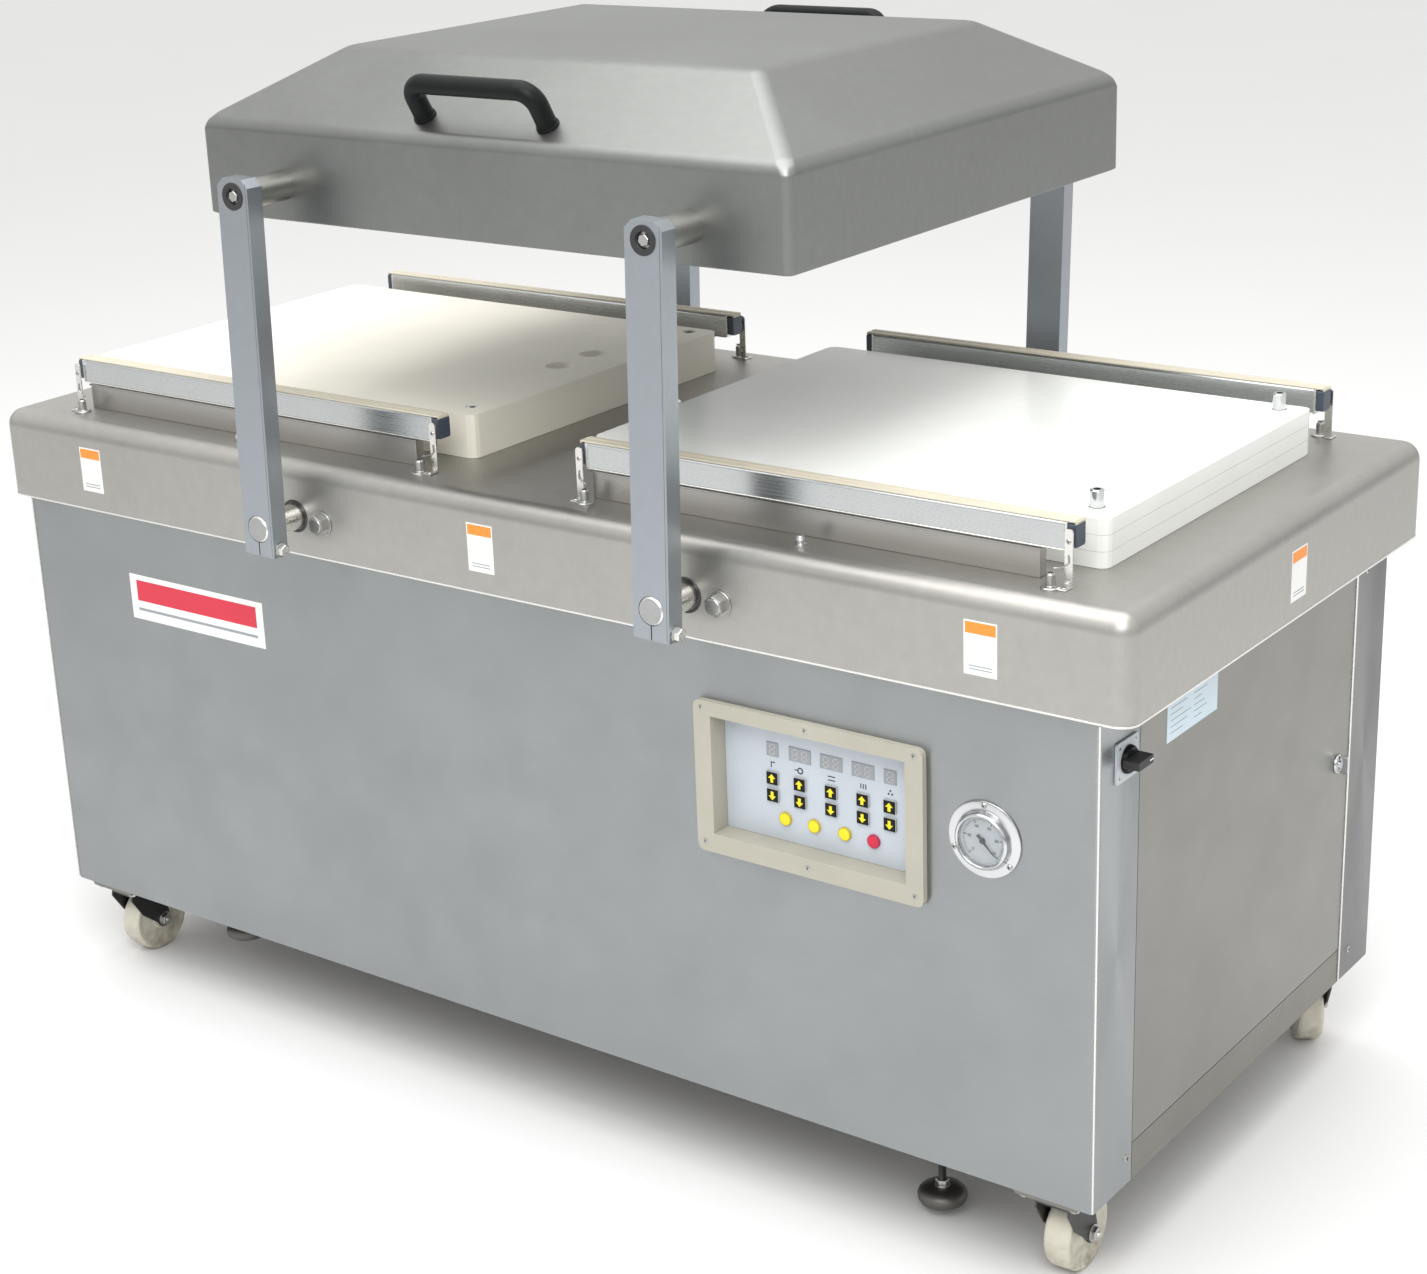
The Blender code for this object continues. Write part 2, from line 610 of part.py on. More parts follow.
def build_lid():
    """The lid shell with the four studs it hangs on, its gasket and its counter bars."""
    origin = (ARM_SHIFT - PIVOT_X, 0, PIVOT_Z + ARM_RISE)
    shell = node("lid_shell", lid_surface(), "satin_stainless", origin, True)
    solid = shell.modifiers.new("Wall", "SOLIDIFY")
    solid.thickness = LID_WALL
    solid.offset = -1
    solid.use_even_offset = True
    studs = []
    for side in (-1, 1):
        for end in (-1, 1):
            pivot = (side * PIVOT_X + ARM_SHIFT, 0, PIVOT_Z + ARM_RISE)
            root = LID_HALF_DEPTH - 0.002
            face = ARM_BACK_Y - 0.0006
            tip = ARM_FRONT_Y - 0.009
            profile = [(0, root), (0.019, root), (0.019, face), (SPIGOT_RADIUS, face),
                       (SPIGOT_RADIUS, tip), (0, tip)]
            studs.append(turned(profile, pivot, (0, end, 0), 16))
    weld(shell, *studs)

    skin = LID_WALL + GAP
    length, depth = LID_HALF_LENGTH - skin, LID_HALF_DEPTH - skin
    seal = box((LID_X - length, -depth, LID_RIM - 0.0015), (LID_X + length, depth, LID_RIM + 0.012))
    rounded(seal, LID_RADIUS - LID_WALL, 3, along(2))
    gasket = node("lid_gasket", seal, "dark_rubber", origin)
    length, depth = length - GASKET_WIDTH, depth - GASKET_WIDTH
    opening = box((LID_X - length, -depth, LID_RIM - 0.01), (LID_X + length, depth, LID_RIM + 0.02))
    cut(gasket, rounded(opening, 0.006, 2, along(2)))

    for end, end_name in ((-1, "front"), (1, "rear")):
        y, low = end * SEAL_BAR_Y, COUNTER_BAR_BOTTOM
        bar = box((LID_X - 0.392, y - 0.015, low), (LID_X + 0.392, y + 0.015, low + 0.030))
        counter = node(f"counter_bar_{end_name}", bar, "anodised_aluminium", origin)
        lugs = []
        for x in (LID_X - 0.30, LID_X, LID_X + 0.30):
            lugs.append(box((x - 0.02, y - 0.006, low + 0.02), (x + 0.02, y + 0.006, low + 0.056)))
        weld(counter, *lugs)


def build_handles():
    """Two bow handles that stand square on the lid's front and rear slopes."""
    origin = (ARM_SHIFT - PIVOT_X, 0, PIVOT_Z + ARM_RISE)
    pitch = math.atan2(LID_ROOF - LID_EAVE, ROOF_INSET_Y)
    foot_z = LID_EAVE + (LID_HALF_DEPTH - HANDLE_FOOT_Y) * math.tan(pitch)
    bend, half = 0.022, HANDLE_SPAN / 2
    path = [(-half, 0.0006)] + arc((bend - half, HANDLE_RISE - bend), bend, 180, 90, 4)
    path += arc((half - bend, HANDLE_RISE - bend), bend, 90, 0, 4) + [(half, 0.0006)]
    section = [(0.85 * a, b) for a, b in arc((0, 0), HANDLE_RADIUS, 0, 324, 9)]
    for end, end_name in ((-1, "front"), (1, "rear")):
        foot = Vector((LID_X, end * HANDLE_FOOT_Y, foot_z))
        outward = Vector((0, end * math.sin(pitch), math.cos(pitch)))
        upslope = Vector((0, -end * math.cos(pitch), math.sin(pitch)))
        points = [foot + Vector((a, 0, 0)) + outward * b for a, b in path]
        node(f"lid_handle_{end_name}", swept(points, section, upslope), "black_plastic", origin, True)


# ---------------------------------------------------------------- controls

def key_sites():
    """Name, centre, shape and finish of each key."""
    sites = []
    for column, x in enumerate(KEY_COLUMNS, start=1):
        for row, z in KEY_ROWS.items():
            sites.append((f"key_{row}_{column}", x, z, "square", "black_plastic"))
    for use, x in ROUND_KEYS.items():
        finish = "red_plastic" if use == "stop" else "yellow_plastic"
        sites.append((f"key_{use}", x, ROUND_KEY_Z, "round", finish))
    return sites


def build_control_housing():
    """A bezel with a deep pocket, whose floor has a hole for each key."""
    (left, right), (low, high) = HOUSING_X, HOUSING_Z
    plate = box((left, HOUSING_FRONT, low), (right, CABINET_FRONT - GAP, high))
    rounded(plate, 0.009, 3, along(1))
    housing = node("control_housing", plate, "beige_plastic", smooth=True)
    (left, right), (low, high) = POCKET_X, POCKET_Z
    wall = 0.003
    back = KEY_FACE + KEY_PLATE
    weld(housing, box((left - wall, HOUSING_FRONT + 0.004, low - wall), (right + wall, back, high + wall)))
    cut(housing, box((left, HOUSING_FRONT - 0.01, low), (right, KEY_FACE, high)))
    holes = []
    reach = KEY_SIZE / 2 + GAP
    front, back = KEY_FACE - 0.002, back + 0.002
    for _, x, z, kind, _ in key_sites():
        if kind == "square":
            holes.append(box((x - reach, front, z - reach), (x + reach, back, z + reach)))
        else:
            holes.append(rod((x, front, z), (x, back, z), reach, 16))
    cut(housing, *holes)


def build_keys():
    """Ten square arrow keys and four round keys, each a plunger in its hole."""
    front, back = KEY_FACE - KEY_PROUD, KEY_FACE + 0.006
    half = KEY_SIZE / 2
    button = [(0, front), (half, front), (half, back), (0, back)]
    for name, x, z, kind, finish in key_sites():
        if kind == "square":
            shape = box((x - half, front, z - half), (x + half, back, z + half))
            rounded(shape, 0.0012, 1, along(1))
        else:
            shape = turned(button, (x, 0, z), (0, 1, 0), 16)
        node(name, shape, finish, (x, KEY_FACE, z))


def build_gauge():
    """A panel vacuum gauge with a flange, and its needle."""
    face = -GAP
    profile = [(0, -0.0045), (0.0290, -0.0045), (0.0290, -0.0112), (0.0305, -0.0125), (0.0355, -0.0030),
               (0.0465, -0.0020), (0.0465, face), (0.0310, face), (0.0310, 0.0340), (0, 0.0340)]
    node("gauge_body", turned(profile, GAUGE, (0, 1, 0), 24), "polished_steel", GAUGE, True)
    profile = [(0, -0.0080), (0.0035, -0.0080), (0.0035, -0.0049), (0, -0.0049)]
    needle = node("gauge_needle", turned(profile, GAUGE, (0, 1, 0), 10), "black_plastic", GAUGE)
    outline = [(-0.0012, -0.009), (0.0012, -0.009), (0.0004, 0.023), (-0.0004, 0.023)]
    pointer = prism(outline, 1, -0.0072, -0.0064)
    pointer.transform(Matrix.Translation(GAUGE) @ Matrix.Rotation(NEEDLE_REST, 4, "Y"))
    weld(needle, pointer)


def build_switch():
    """The main switch: a plate with the switch body behind it, and a bar knob."""
    plate = box(SWITCH + Vector((GAP, -0.025, -0.024)), SWITCH + Vector((0.003, 0.025, 0.024)))
    switch = node("switch_plate", rounded(plate, 0.003, 2, along(0)), "grey_plastic", SWITCH)
    weld(switch, rod(SWITCH + Vector((-0.050, 0, 0)), SWITCH + Vector((0.002, 0, 0)), 0.0145, 16))
    profile = [(0, 0.0034), (0.0165, 0.0034), (0.0150, 0.0090), (0, 0.0090)]
    knob = node("switch_knob", turned(profile, SWITCH, (1, 0, 0), 20), "black_plastic", SWITCH, True)
    grip = box(SWITCH + Vector((0.006, -0.0175, -0.0055)), SWITCH + Vector((0.026, 0.0175, 0.0055)))
    weld(knob, rounded(grip, 0.004, 2, along(2)))


# ---------------------------------------------------------------- running gear

def moved(shape, place):
    shape.transform(place)
    return shape


def build_caster(x, y, name):
    """A swivel fork with its axle, and the wheel that trails behind it."""
    place = Matrix.Translation((x, y, 0)) @ Matrix.Rotation(CASTER_TURN.get(name, 0), 4, "Z")
    leg_low = WHEEL_HALF + 0.002
    leg_high = leg_low + 0.003
    lobe = [(CASTER_TRAIL + a, WHEEL_RADIUS + b) for a, b in arc((0, 0), 0.012, 200, 360, 4)]
    outline = lobe + [(0.034, 0.105), (0.028, 0.110), (-0.023, 0.110), (-0.025, 0.100)]
    crown = box((-leg_high - 0.0002, -0.024, 0.106), (leg_high + 0.0002, 0.026, 0.113))
    fork = node(f"caster_fork_{name}", moved(crown, place), "polished_steel", (x, y, 0.120))
    race_top = CASTER_PLATE_BOTTOM - 0.0005
    race = [(0, 0.1105), (0.018, 0.1105), (0.028, 0.1150), (0.024, race_top), (0, race_top)]
    weld(
        fork,
        moved(prism(outline, 0, -leg_high, -leg_low), place),
        moved(prism(outline, 0, leg_low, leg_high), place),
        moved(turned(race, (0, 0, 0), (0, 0, 1), 14), place),
    )
    centre, reach = Vector((0, CASTER_TRAIL, WHEEL_RADIUS)), Vector((leg_high + 0.004, 0, 0))
    weld(fork, moved(rod(centre - reach, centre + reach, AXLE_RADIUS, 10), place))
    bore = AXLE_RADIUS + 0.0006
    rim, tread = WHEEL_HALF - 0.001, WHEEL_RADIUS
    profile = [(bore, -WHEEL_HALF), (0.015, -WHEEL_HALF), (0.016, -rim), (tread - 0.004, -rim),
               (tread, 0.004 - rim), (tread, rim - 0.004), (tread - 0.004, rim), (0.016, rim),
               (0.015, WHEEL_HALF), (bore, WHEEL_HALF)]
    wheel = moved(turned(profile, centre, (1, 0, 0), 24), place)
    node(f"caster_wheel_{name}", wheel, "nylon_wheel", place @ centre, True)


def build_foot(x, y, rest, name):
    """A levelling foot: a domed pad on a screw that passes through the pan."""
    screw, origin = FOOT_SCREW_RADIUS, (x, y, rest)
    profile = [(0, 0), (0.027, 0), (0.0305, 0.004), (0.0310, 0.010), (0.027, 0.016), (0.018, 0.020),
               (0.008, 0.0215), (0.008, 0.028), (screw, 0.0285), (screw, FOOT_LENGTH), (0, FOOT_LENGTH)]
    foot = turned(profile, origin, (0, 0, 1), 16)
    node(f"levelling_foot_{name}", foot, "dark_rubber", origin, True)


def build_running_gear():
    """Casters under the corners, and a levelling foot inboard of each."""
    for side, side_name in ((-1, "left"), (1, "right")):
        for end, end_name in ((-1, "front"), (1, "rear")):
            name = f"{end_name}_{side_name}"
            x, y = CASTER_SITE[end_name]
            build_caster(side * x, y, name)
            build_foot(side * FOOT_X, end * FOOT_Y, FOOT_REST[name], name)


def main():
    for obj in list(bpy.data.objects):
        bpy.data.objects.remove(obj, do_unlink=True)
    build_base_pan()
    build_front_panel()
    build_rear_panel()
    build_sides()
    build_cable_gland()
    build_vacuum_pump()
    build_deck()
    build_boards()
    build_seal_bars()
    build_arms()
    build_lid()
    build_handles()
    build_control_housing()
    build_keys()
    build_gauge()
    build_switch()
    build_running_gear()


main()
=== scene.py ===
import math

import bmesh
import bpy
from mathutils import Matrix, Vector


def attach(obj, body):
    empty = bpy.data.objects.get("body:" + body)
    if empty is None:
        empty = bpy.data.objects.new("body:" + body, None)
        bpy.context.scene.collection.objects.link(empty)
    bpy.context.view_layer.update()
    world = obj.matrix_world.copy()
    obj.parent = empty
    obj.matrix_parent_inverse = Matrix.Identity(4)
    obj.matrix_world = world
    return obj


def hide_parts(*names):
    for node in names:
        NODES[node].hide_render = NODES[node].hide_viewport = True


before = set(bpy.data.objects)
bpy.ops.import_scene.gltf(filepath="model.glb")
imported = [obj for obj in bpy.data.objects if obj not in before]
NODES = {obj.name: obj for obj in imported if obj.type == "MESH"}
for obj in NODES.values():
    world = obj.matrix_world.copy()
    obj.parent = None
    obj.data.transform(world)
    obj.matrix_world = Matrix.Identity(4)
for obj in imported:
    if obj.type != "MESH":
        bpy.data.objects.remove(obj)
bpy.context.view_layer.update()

X, Y, Z = Vector((1, 0, 0)), Vector((0, 1, 0)), Vector((0, 0, 1))
SIDES = (("left", -1), ("right", 1))
ENDS = (("front", -1), ("rear", 1))

# The camera and the image it is framed for
EYE = Vector((2.0711, -2.6984, 1.7668))
YAW, PITCH, ROLL = 0.6511, 0.3394, -0.0404
FOCAL_PIXELS = 2602.04
CENTRE_PIXEL = (687.009, 626.812)
IMAGE = (1427, 1274)

# Places shared with the CAD, in metres
DECK_TOP = 0.858
DECK_BOTTOM = 0.7325
CHAMBER_X = 0.456
PIVOT_X, PIVOT_Z = 0.3196, 0.786
HEAD_SHIFT, HEAD_Z = 0.0119, 1.2184
LEAN = math.atan2(0.0119, 0.4324)
ARM_FACE, ARM_BACK = 0.467, 0.442
LID_X = 0.0119
PANEL_Y = -0.394
SIDE_X = 0.862
GAUGE = Vector((0.721, PANEL_Y, 0.566))
SWITCH = Vector((SIDE_X, -0.336, 0.673))
LATCH = Vector((SIDE_X, 0.254, 0.457))
KEY_FACE = -0.374
KEY_COLUMNS = (0.420, 0.459, 0.503, 0.547, 0.584)
KEY_ROWS = {"up": 0.567, "down": 0.545}
ROUND_KEYS = {"start": 0.437, "program": 0.478, "air": 0.521, "stop": 0.561}
ROUND_KEY_Z = 0.518
CASTER_SITE = {"front": (0.797, -0.347), "rear": (0.810, 0.326)}
CASTER_TURN = {"rear_right": math.radians(35)}
CASTER_TRAIL = 0.034
FOOT_REST = {"front_left": 0.063, "front_right": 0.016, "rear_left": 0.063, "rear_right": 0.063}


# ---------------------------------------------------------------- materials

class Graph:
    """One material, with short ways to add nodes to it."""

    def __init__(self, name, colour, roughness, metallic=0.0):
        self.material = bpy.data.materials.new(name)
        self.material.use_nodes = True
        self.tree = self.material.node_tree
        self.shader = self.tree.nodes["Principled BSDF"]
        self.colour = colour
        self.roughness = roughness
        self.put("Base Color", (*colour, 1))
        self.put("Roughness", roughness)
        self.put("Metallic", metallic)
        self.place = self.add("ShaderNodeTexCoord", output="Object")

    def put(self, socket, value):
        """Set one of the shader's sockets to a value or another node's output."""
        self.plug(self.shader.inputs[socket], value)

    def plug(self, socket, value):
        if isinstance(value, bpy.types.NodeSocket):
            self.tree.links.new(value, socket)
        else:
            socket.default_value = value

    def add(self, kind, values=(), output=0, **settings):
        """Add a node with its settings and socket values, and return one output."""
        made = self.tree.nodes.new(kind)
        for key, value in settings.items():
            setattr(made, key, value)
        for key, value in dict(values).items():
            self.plug(made.inputs[key], value)
        return made.outputs[output]

    def noise(self, scale, detail=2.0, stretch=(1, 1, 1), shift=(0, 0, 0)):
        """Noise from 0 to 1 in the object's own coordinates."""
        moved = self.add("ShaderNodeMapping", {"Vector": self.place, "Scale": stretch, "Location": shift})
        values = {"Vector": moved, "Scale": scale, "Detail": detail, "Roughness": 0.55}
        return self.add("ShaderNodeTexNoise", values)

    def spread(self, value, low, high, start=0.3, end=0.7):
        """Map a value from start..end to low..high."""
        values = {"Value": value, "From Min": start, "From Max": end, "To Min": low, "To Max": high}
        return self.add("ShaderNodeMapRange", values)

    def sum(self, operation, one, two):
        return self.add("ShaderNodeMath", {0: one, 1: two}, operation=operation)

    def mix(self, factor, one, two):
        """A colour between two colours."""
        values = {0: factor, 6: one, 7: two}
        return self.add("ShaderNodeMix", values, output=2, data_type="RGBA")

    def shade(self, factor, low, high):
        """Vary the base colour from low to high times itself."""
        one = tuple(min(c * low, 1) for c in self.colour) + (1,)
        two = tuple(min(c * high, 1) for c in self.colour) + (1,)
        return self.mix(factor, one, two)

    def bump(self, height, strength, distance):
        values = {"Height": height, "Strength": strength, "Distance": distance}
        self.put("Normal", self.add("ShaderNodeBump", values))


def steel(name, colour, roughness, grain, tangent, anisotropy=0.6, contrast=0.06, waves=0.0):
    """Brushed sheet metal whose lines run along one axis."""
    g = Graph(name, colour, roughness, 1.0)
    stretch = [170.0, 170.0, 170.0]
    stretch[grain] = 1.3
    lines = g.noise(5.0, 3.0, stretch)
    blotches = g.noise(3.2, 4.0)
    stains = g.noise(11.0, 3.0, shift=(3.1, 1.7, 0.4))
    fac = g.sum("ADD", g.sum("MULTIPLY", lines, 0.5), g.sum("MULTIPLY", blotches, 0.5))
    g.put("Base Color", g.shade(g.spread(fac, 0.0, 1.0), 1 - contrast, 1 + contrast))
    rough = g.sum("ADD", g.spread(lines, -0.04, 0.05), g.spread(stains, roughness - 0.03, roughness + 0.04))
    g.put("Roughness", rough)
    g.put("Anisotropic", anisotropy)
    g.put("Tangent", g.add("ShaderNodeTangent", direction_type="RADIAL", axis=tangent))
    height = lines
    if waves:
        height = g.sum("ADD", lines, g.sum("MULTIPLY", g.noise(1.6, 1.0, (1, 1, 0.45)), waves))
    g.bump(height, 0.10, 0.0002)
    return g.material


def satin(name, colour, roughness, contrast=0.05, speckle=0.10):
    """Bead-blasted or orbital-sanded steel, with soft marks from handling."""
    g = Graph(name, colour, roughness, 1.0)
    grains = g.noise(1400.0, 2.0)
    swirls = g.noise(60.0, 4.0, (1, 1.6, 1))
    blotches = g.noise(3.0, 5.0, shift=(0.7, 0.2, 1.1))
    fac = g.sum("ADD", g.sum("MULTIPLY", blotches, 0.6), g.sum("MULTIPLY", swirls, 0.4))
    g.put("Base Color", g.shade(g.spread(fac, 0.0, 1.0), 1 - contrast, 1 + contrast))
    g.put("Roughness", g.sum("ADD", g.spread(grains, -0.03, 0.03), g.spread(blotches, roughness - 0.05, roughness + 0.05)))
    g.bump(grains, speckle, 0.0001)
    return g.material


def polished(name, colour, roughness, grain=400.0):
    """Turned, plated or polished metal with faint marks."""
    g = Graph(name, colour, roughness, 1.0)
    marks = g.noise(grain, 3.0)
    blotches = g.noise(25.0, 3.0)
    g.put("Base Color", g.shade(blotches, 0.90, 1.06))
    g.put("Roughness", g.sum("ADD", g.spread(marks, -0.03, 0.05), g.spread(blotches, roughness, roughness + 0.05)))
    g.bump(marks, 0.05, 0.0001)
    return g.material


def plastic(name, colour, roughness, texture=900.0, depth=0.08, coat=0.0, bottom_darkening=0.0):
    """Moulded or cast plastic with a fine surface texture."""
    g = Graph(name, colour, roughness)
    grains = g.noise(texture, 2.0)
    clouds = g.noise(14.0, 4.0)
    tone = g.shade(g.spread(clouds, 0.0, 1.0), 0.95, 1.04)
    # Darker and browner towards the bottom, over the lowest 75 mm, broken up by noise.
    if bottom_darkening:
        height = g.add("ShaderNodeSeparateXYZ", {0: g.place}, output=2)
        low = g.spread(height, bottom_darkening, 0.0, 0.0, 0.075)
        bottom_mask = g.sum("MULTIPLY", low, g.spread(g.noise(70.0, 5.0), 0.1, 1.6))
        tone = g.mix(bottom_mask, tone, (0.19, 0.15, 0.10, 1))
    g.put("Base Color", tone)
    g.put("Roughness", g.sum("ADD", g.spread(grains, -0.04, 0.04), g.spread(clouds, roughness - 0.03, roughness + 0.05)))
    g.put("Coat Weight", coat)
    g.bump(grains, depth, 0.0001)
    return g.material


def cutting_board(name, colour, roughness, depth):
    """Polyethylene board: waxy, with faint knife marks and clouding."""
    g = Graph(name, colour, roughness)
    cuts = g.noise(22.0, 3.0, (1, 3, 1))
    clouds = g.noise(5.0, 4.0)
    g.put("Base Color", g.shade(g.spread(clouds, 0.0, 1.0), 0.955, 1.02))
    g.put("Roughness", g.spread(cuts, roughness - 0.015, roughness + 0.03))
    g.put("Subsurface Weight", 0.15)
    g.put("Subsurface Radius", (0.006, 0.005, 0.004))
    g.bump(cuts, depth, 0.0002)
    return g.material


def glass(name, colour):
    g = Graph(name, colour, 0.03)
    g.put("Transmission Weight", 1.0)
    g.put("IOR", 1.45)
    g.put("Roughness", g.spread(g.noise(40.0, 2.0), 0.01, 0.05))
    return g.material


# The lid is the same satin stainless as the deck, set much darker: painted shade.
LID_STEEL = satin("lid_steel_painted_shade", (0.255, 0.262, 0.252), 0.40, 0.07, 0.16)
DECK_STEEL = satin("deck_satin_steel", (0.43, 0.42, 0.395), 0.42, 0.08, 0.18)
# The cabinet panels are one brushed stainless in four tones, lightest on the front and darker on the side, rear and
# base pan: painted light and shade.
FRONT_STEEL = steel("front_brushed_steel", (0.345, 0.360, 0.366), 0.36, 0, "X", 0.88, 0.06, waves=9.0)
SIDE_STEEL = steel("side_brushed_steel", (0.270, 0.266, 0.248), 0.36, 1, "Y", 0.6, 0.08)
PAN_STEEL = steel("pan_brushed_steel", (0.235, 0.225, 0.205), 0.40, 1, "Y", 0.4)
REAR_STEEL = steel("rear_brushed_steel", (0.225, 0.230, 0.228), 0.38, 0, "X", 0.7)
CHANNEL_STEEL = steel("channel_steel", (0.47, 0.455, 0.43), 0.36, 0, "X", 0.4)
ARM_ALUMINIUM = satin("arm_aluminium", (0.38, 0.41, 0.44), 0.40, 0.05, 0.30)
BAR_ALUMINIUM = steel("bar_aluminium", (0.57, 0.585, 0.59), 0.26, 0, "X", 0.5, 0.05)
TURNED_STEEL = polished("turned_steel", (0.43, 0.43, 0.415), 0.30)
DARK_STEEL = polished("dark_steel", (0.085, 0.085, 0.085), 0.34)
# Bright polished steel for shafts, lips and strips. On the panel fold rods and the skirt band, its brightness is
# painted highlight.
EDGE_STEEL = polished("bright_steel_and_edge_highlight", (0.78, 0.77, 0.74), 0.24)
ZINC = polished("zinc_plate", (0.50, 0.50, 0.48), 0.27)
STUD_STEEL = satin("stud_steel", (0.40, 0.395, 0.375), 0.38, 0.05, 0.12)
CHROME = polished("chrome_plate", (0.62, 0.63, 0.64), 0.09, 60.0)
BOARD_GREEN = plastic("circuit_board_green", (0.02, 0.13, 0.06), 0.35)
BRASS = polished("brass", (0.72, 0.52, 0.22), 0.25)
COPPER = polished("copper", (0.75, 0.36, 0.22), 0.30)
WHITE_BOARD = cutting_board("white_board", (0.86, 0.872, 0.835), 0.22, 0.010)
CREAM_BOARD = cutting_board("cream_board", (0.82, 0.79, 0.69), 0.45, 0.02)
BEIGE = plastic("beige_moulding", (0.41, 0.395, 0.33), 0.42, 700.0, 0.15)
BLACK = plastic("black_moulding", (0.010, 0.011, 0.011), 0.34, 500.0, 0.06)
BLACK.node_tree.nodes["Principled BSDF"].inputs["Specular IOR Level"].default_value = 0.12
BLACK_MATT = plastic("black_matt", (0.025, 0.025, 0.026), 0.55)
FOOT_METAL = polished("foot_dark_cast", (0.16, 0.155, 0.145), 0.42, 250.0)
RUBBER = plastic("dark_rubber", (0.022, 0.022, 0.022), 0.70, 500.0, 0.3)
GASKET = plastic("grey_silicone", (0.30, 0.31, 0.32), 0.60, 500.0, 0.2)
TAPE = plastic("beige_tape", (0.55, 0.51, 0.41), 0.50, 1500.0, 0.5)
END_BLOCK = plastic("blue_grey_block", (0.055, 0.070, 0.095), 0.30, 300.0, 0.6)
NYLON = plastic("cream_nylon", (0.66, 0.635, 0.53), 0.40, 300.0, 0.1, bottom_darkening=0.55)
YELLOW = plastic("yellow_key", (0.90, 0.72, 0.005), 0.42)
AMBER = plastic("yellow_key_rim", (0.55, 0.42, 0.02), 0.45)
RED = plastic("red_key", (0.60, 0.008, 0.045), 0.38)
DARK_RED = plastic("red_key_rim", (0.40, 0.01, 0.06), 0.45)
KEY_GREY = plastic("grey_key_side", (0.42, 0.43, 0.44), 0.5)
FACE_FILM = plastic("pale_face_film", (0.50, 0.545, 0.60), 0.35)
SWITCH_GREY = plastic("pale_switch_plate", (0.52, 0.55, 0.58), 0.40)
DISPLAY = plastic("display_window", (0.30, 0.315, 0.33), 0.14)
SEGMENT = plastic("unlit_segment", (0.43, 0.45, 0.47), 0.3)
PRINT = plastic("dark_print", (0.03, 0.03, 0.035), 0.5)
LABEL_WHITE = plastic("label_white", (0.80, 0.80, 0.78), 0.40)
LABEL_ORANGE = plastic("label_orange", (0.85, 0.27, 0.03), 0.40)
LABEL_RED = plastic("label_red", (0.62, 0.02, 0.05), 0.38)
LABEL_BLUE = plastic("label_pale_blue", (0.62, 0.74, 0.82), 0.35)
LABEL_LINE = plastic("label_line", (0.30, 0.33, 0.36), 0.5)
DIAL = plastic("dial_white", (0.74, 0.76, 0.80), 0.45)
GLASS = glass("clear_glass", (0.95, 0.97, 0.97))
PUMP_PAINT = plastic("pump_paint", (0.045, 0.085, 0.14), 0.38, 250.0, 0.25)
MOTOR_GREY = plastic("motor_grey", (0.13, 0.14, 0.15), 0.45, 250.0, 0.25)
WIRE_RED = plastic("wire_red", (0.40, 0.02, 0.02), 0.4)
WIRE_BLUE = plastic("wire_blue", (0.02, 0.08, 0.35), 0.4)
HOSE = plastic("clear_hose", (0.48, 0.49, 0.42), 0.25)


# ---------------------------------------------------------------- shapes

def block(low, high, radius=0.0, segments=2, axis=None, turn=None):
    """A box between two corners, with all edges rounded or only those along an axis."""
    low, high = Vector(low), Vector(high)
    shape = bmesh.new()
    frame_ = Matrix.Translation((low + high) / 2) @ Matrix.Diagonal((*(high - low), 1))
    bmesh.ops.create_cube(shape, size=1, matrix=frame_)
    bmesh.ops.recalc_face_normals(shape, faces=shape.faces)
    if radius:
        edges = list(shape.edges)
        if axis is not None:
            edges = [e for e in edges if abs((e.verts[0].co - e.verts[1].co)[axis]) > 1e-6]
        bmesh.ops.bevel(shape, geom=edges, offset=radius, segments=segments, profile=0.5, affect="EDGES")
    if turn is not None:
        shape.transform(turn)
    return shape


def lathe(profile, origin, axis, sides=48):
    """A profile of (radius, distance) turned about an axis through origin."""
    turn = Vector(axis).to_track_quat("Z", "Y").to_matrix().to_4x4()
    turn = Matrix.Translation(origin) @ turn
    shape = bmesh.new()
    rings = []
    for radius, distance in profile:
        count = 1 if radius == 0 else sides
        ring = []
        for index in range(count):
            angle = 2 * math.pi * index / count
            point = Vector((radius * math.cos(angle), radius * math.sin(angle), distance))
            ring.append(shape.verts.new(turn @ point))
        rings.append(ring)
    closed = profile[0][0] > 0
    for one, two in zip(rings, rings[1:] + rings[:1] if closed else rings[1:]):
        for index in range(sides):
            after = (index + 1) % sides
            a, b = one[index % len(one)], one[after % len(one)]
            c, d = two[after % len(two)], two[index % len(two)]
            corners = list(dict.fromkeys((a, b, c, d)))
            if len(corners) > 2:
                shape.faces.new(corners)
    bmesh.ops.recalc_face_normals(shape, faces=shape.faces)
    return shape


def rod(start, end, radius, sides=32, chamfer=0.0005):
    """A cylinder between two points with chamfered ends."""
    start, end = Vector(start), Vector(end)
    long = (end - start).length
    c = min(chamfer, radius / 3, long / 3)
    profile = [(0, 0), (radius - c, 0), (radius, c), (radius, long - c), (radius - c, long), (0, long)]
    return lathe(profile, start, end - start, sides)


def ring(centre, axis, inner, outer, thick, sides=40):
    """A flat washer with broken edges, its back face on centre."""
    c = min(thick, outer - inner) / 5
    profile = [(inner, 0), (outer, 0), (outer, thick - c), (outer - c, thick), (inner + c, thick), (inner, thick - c)]
    return lathe(profile, centre, axis, sides)


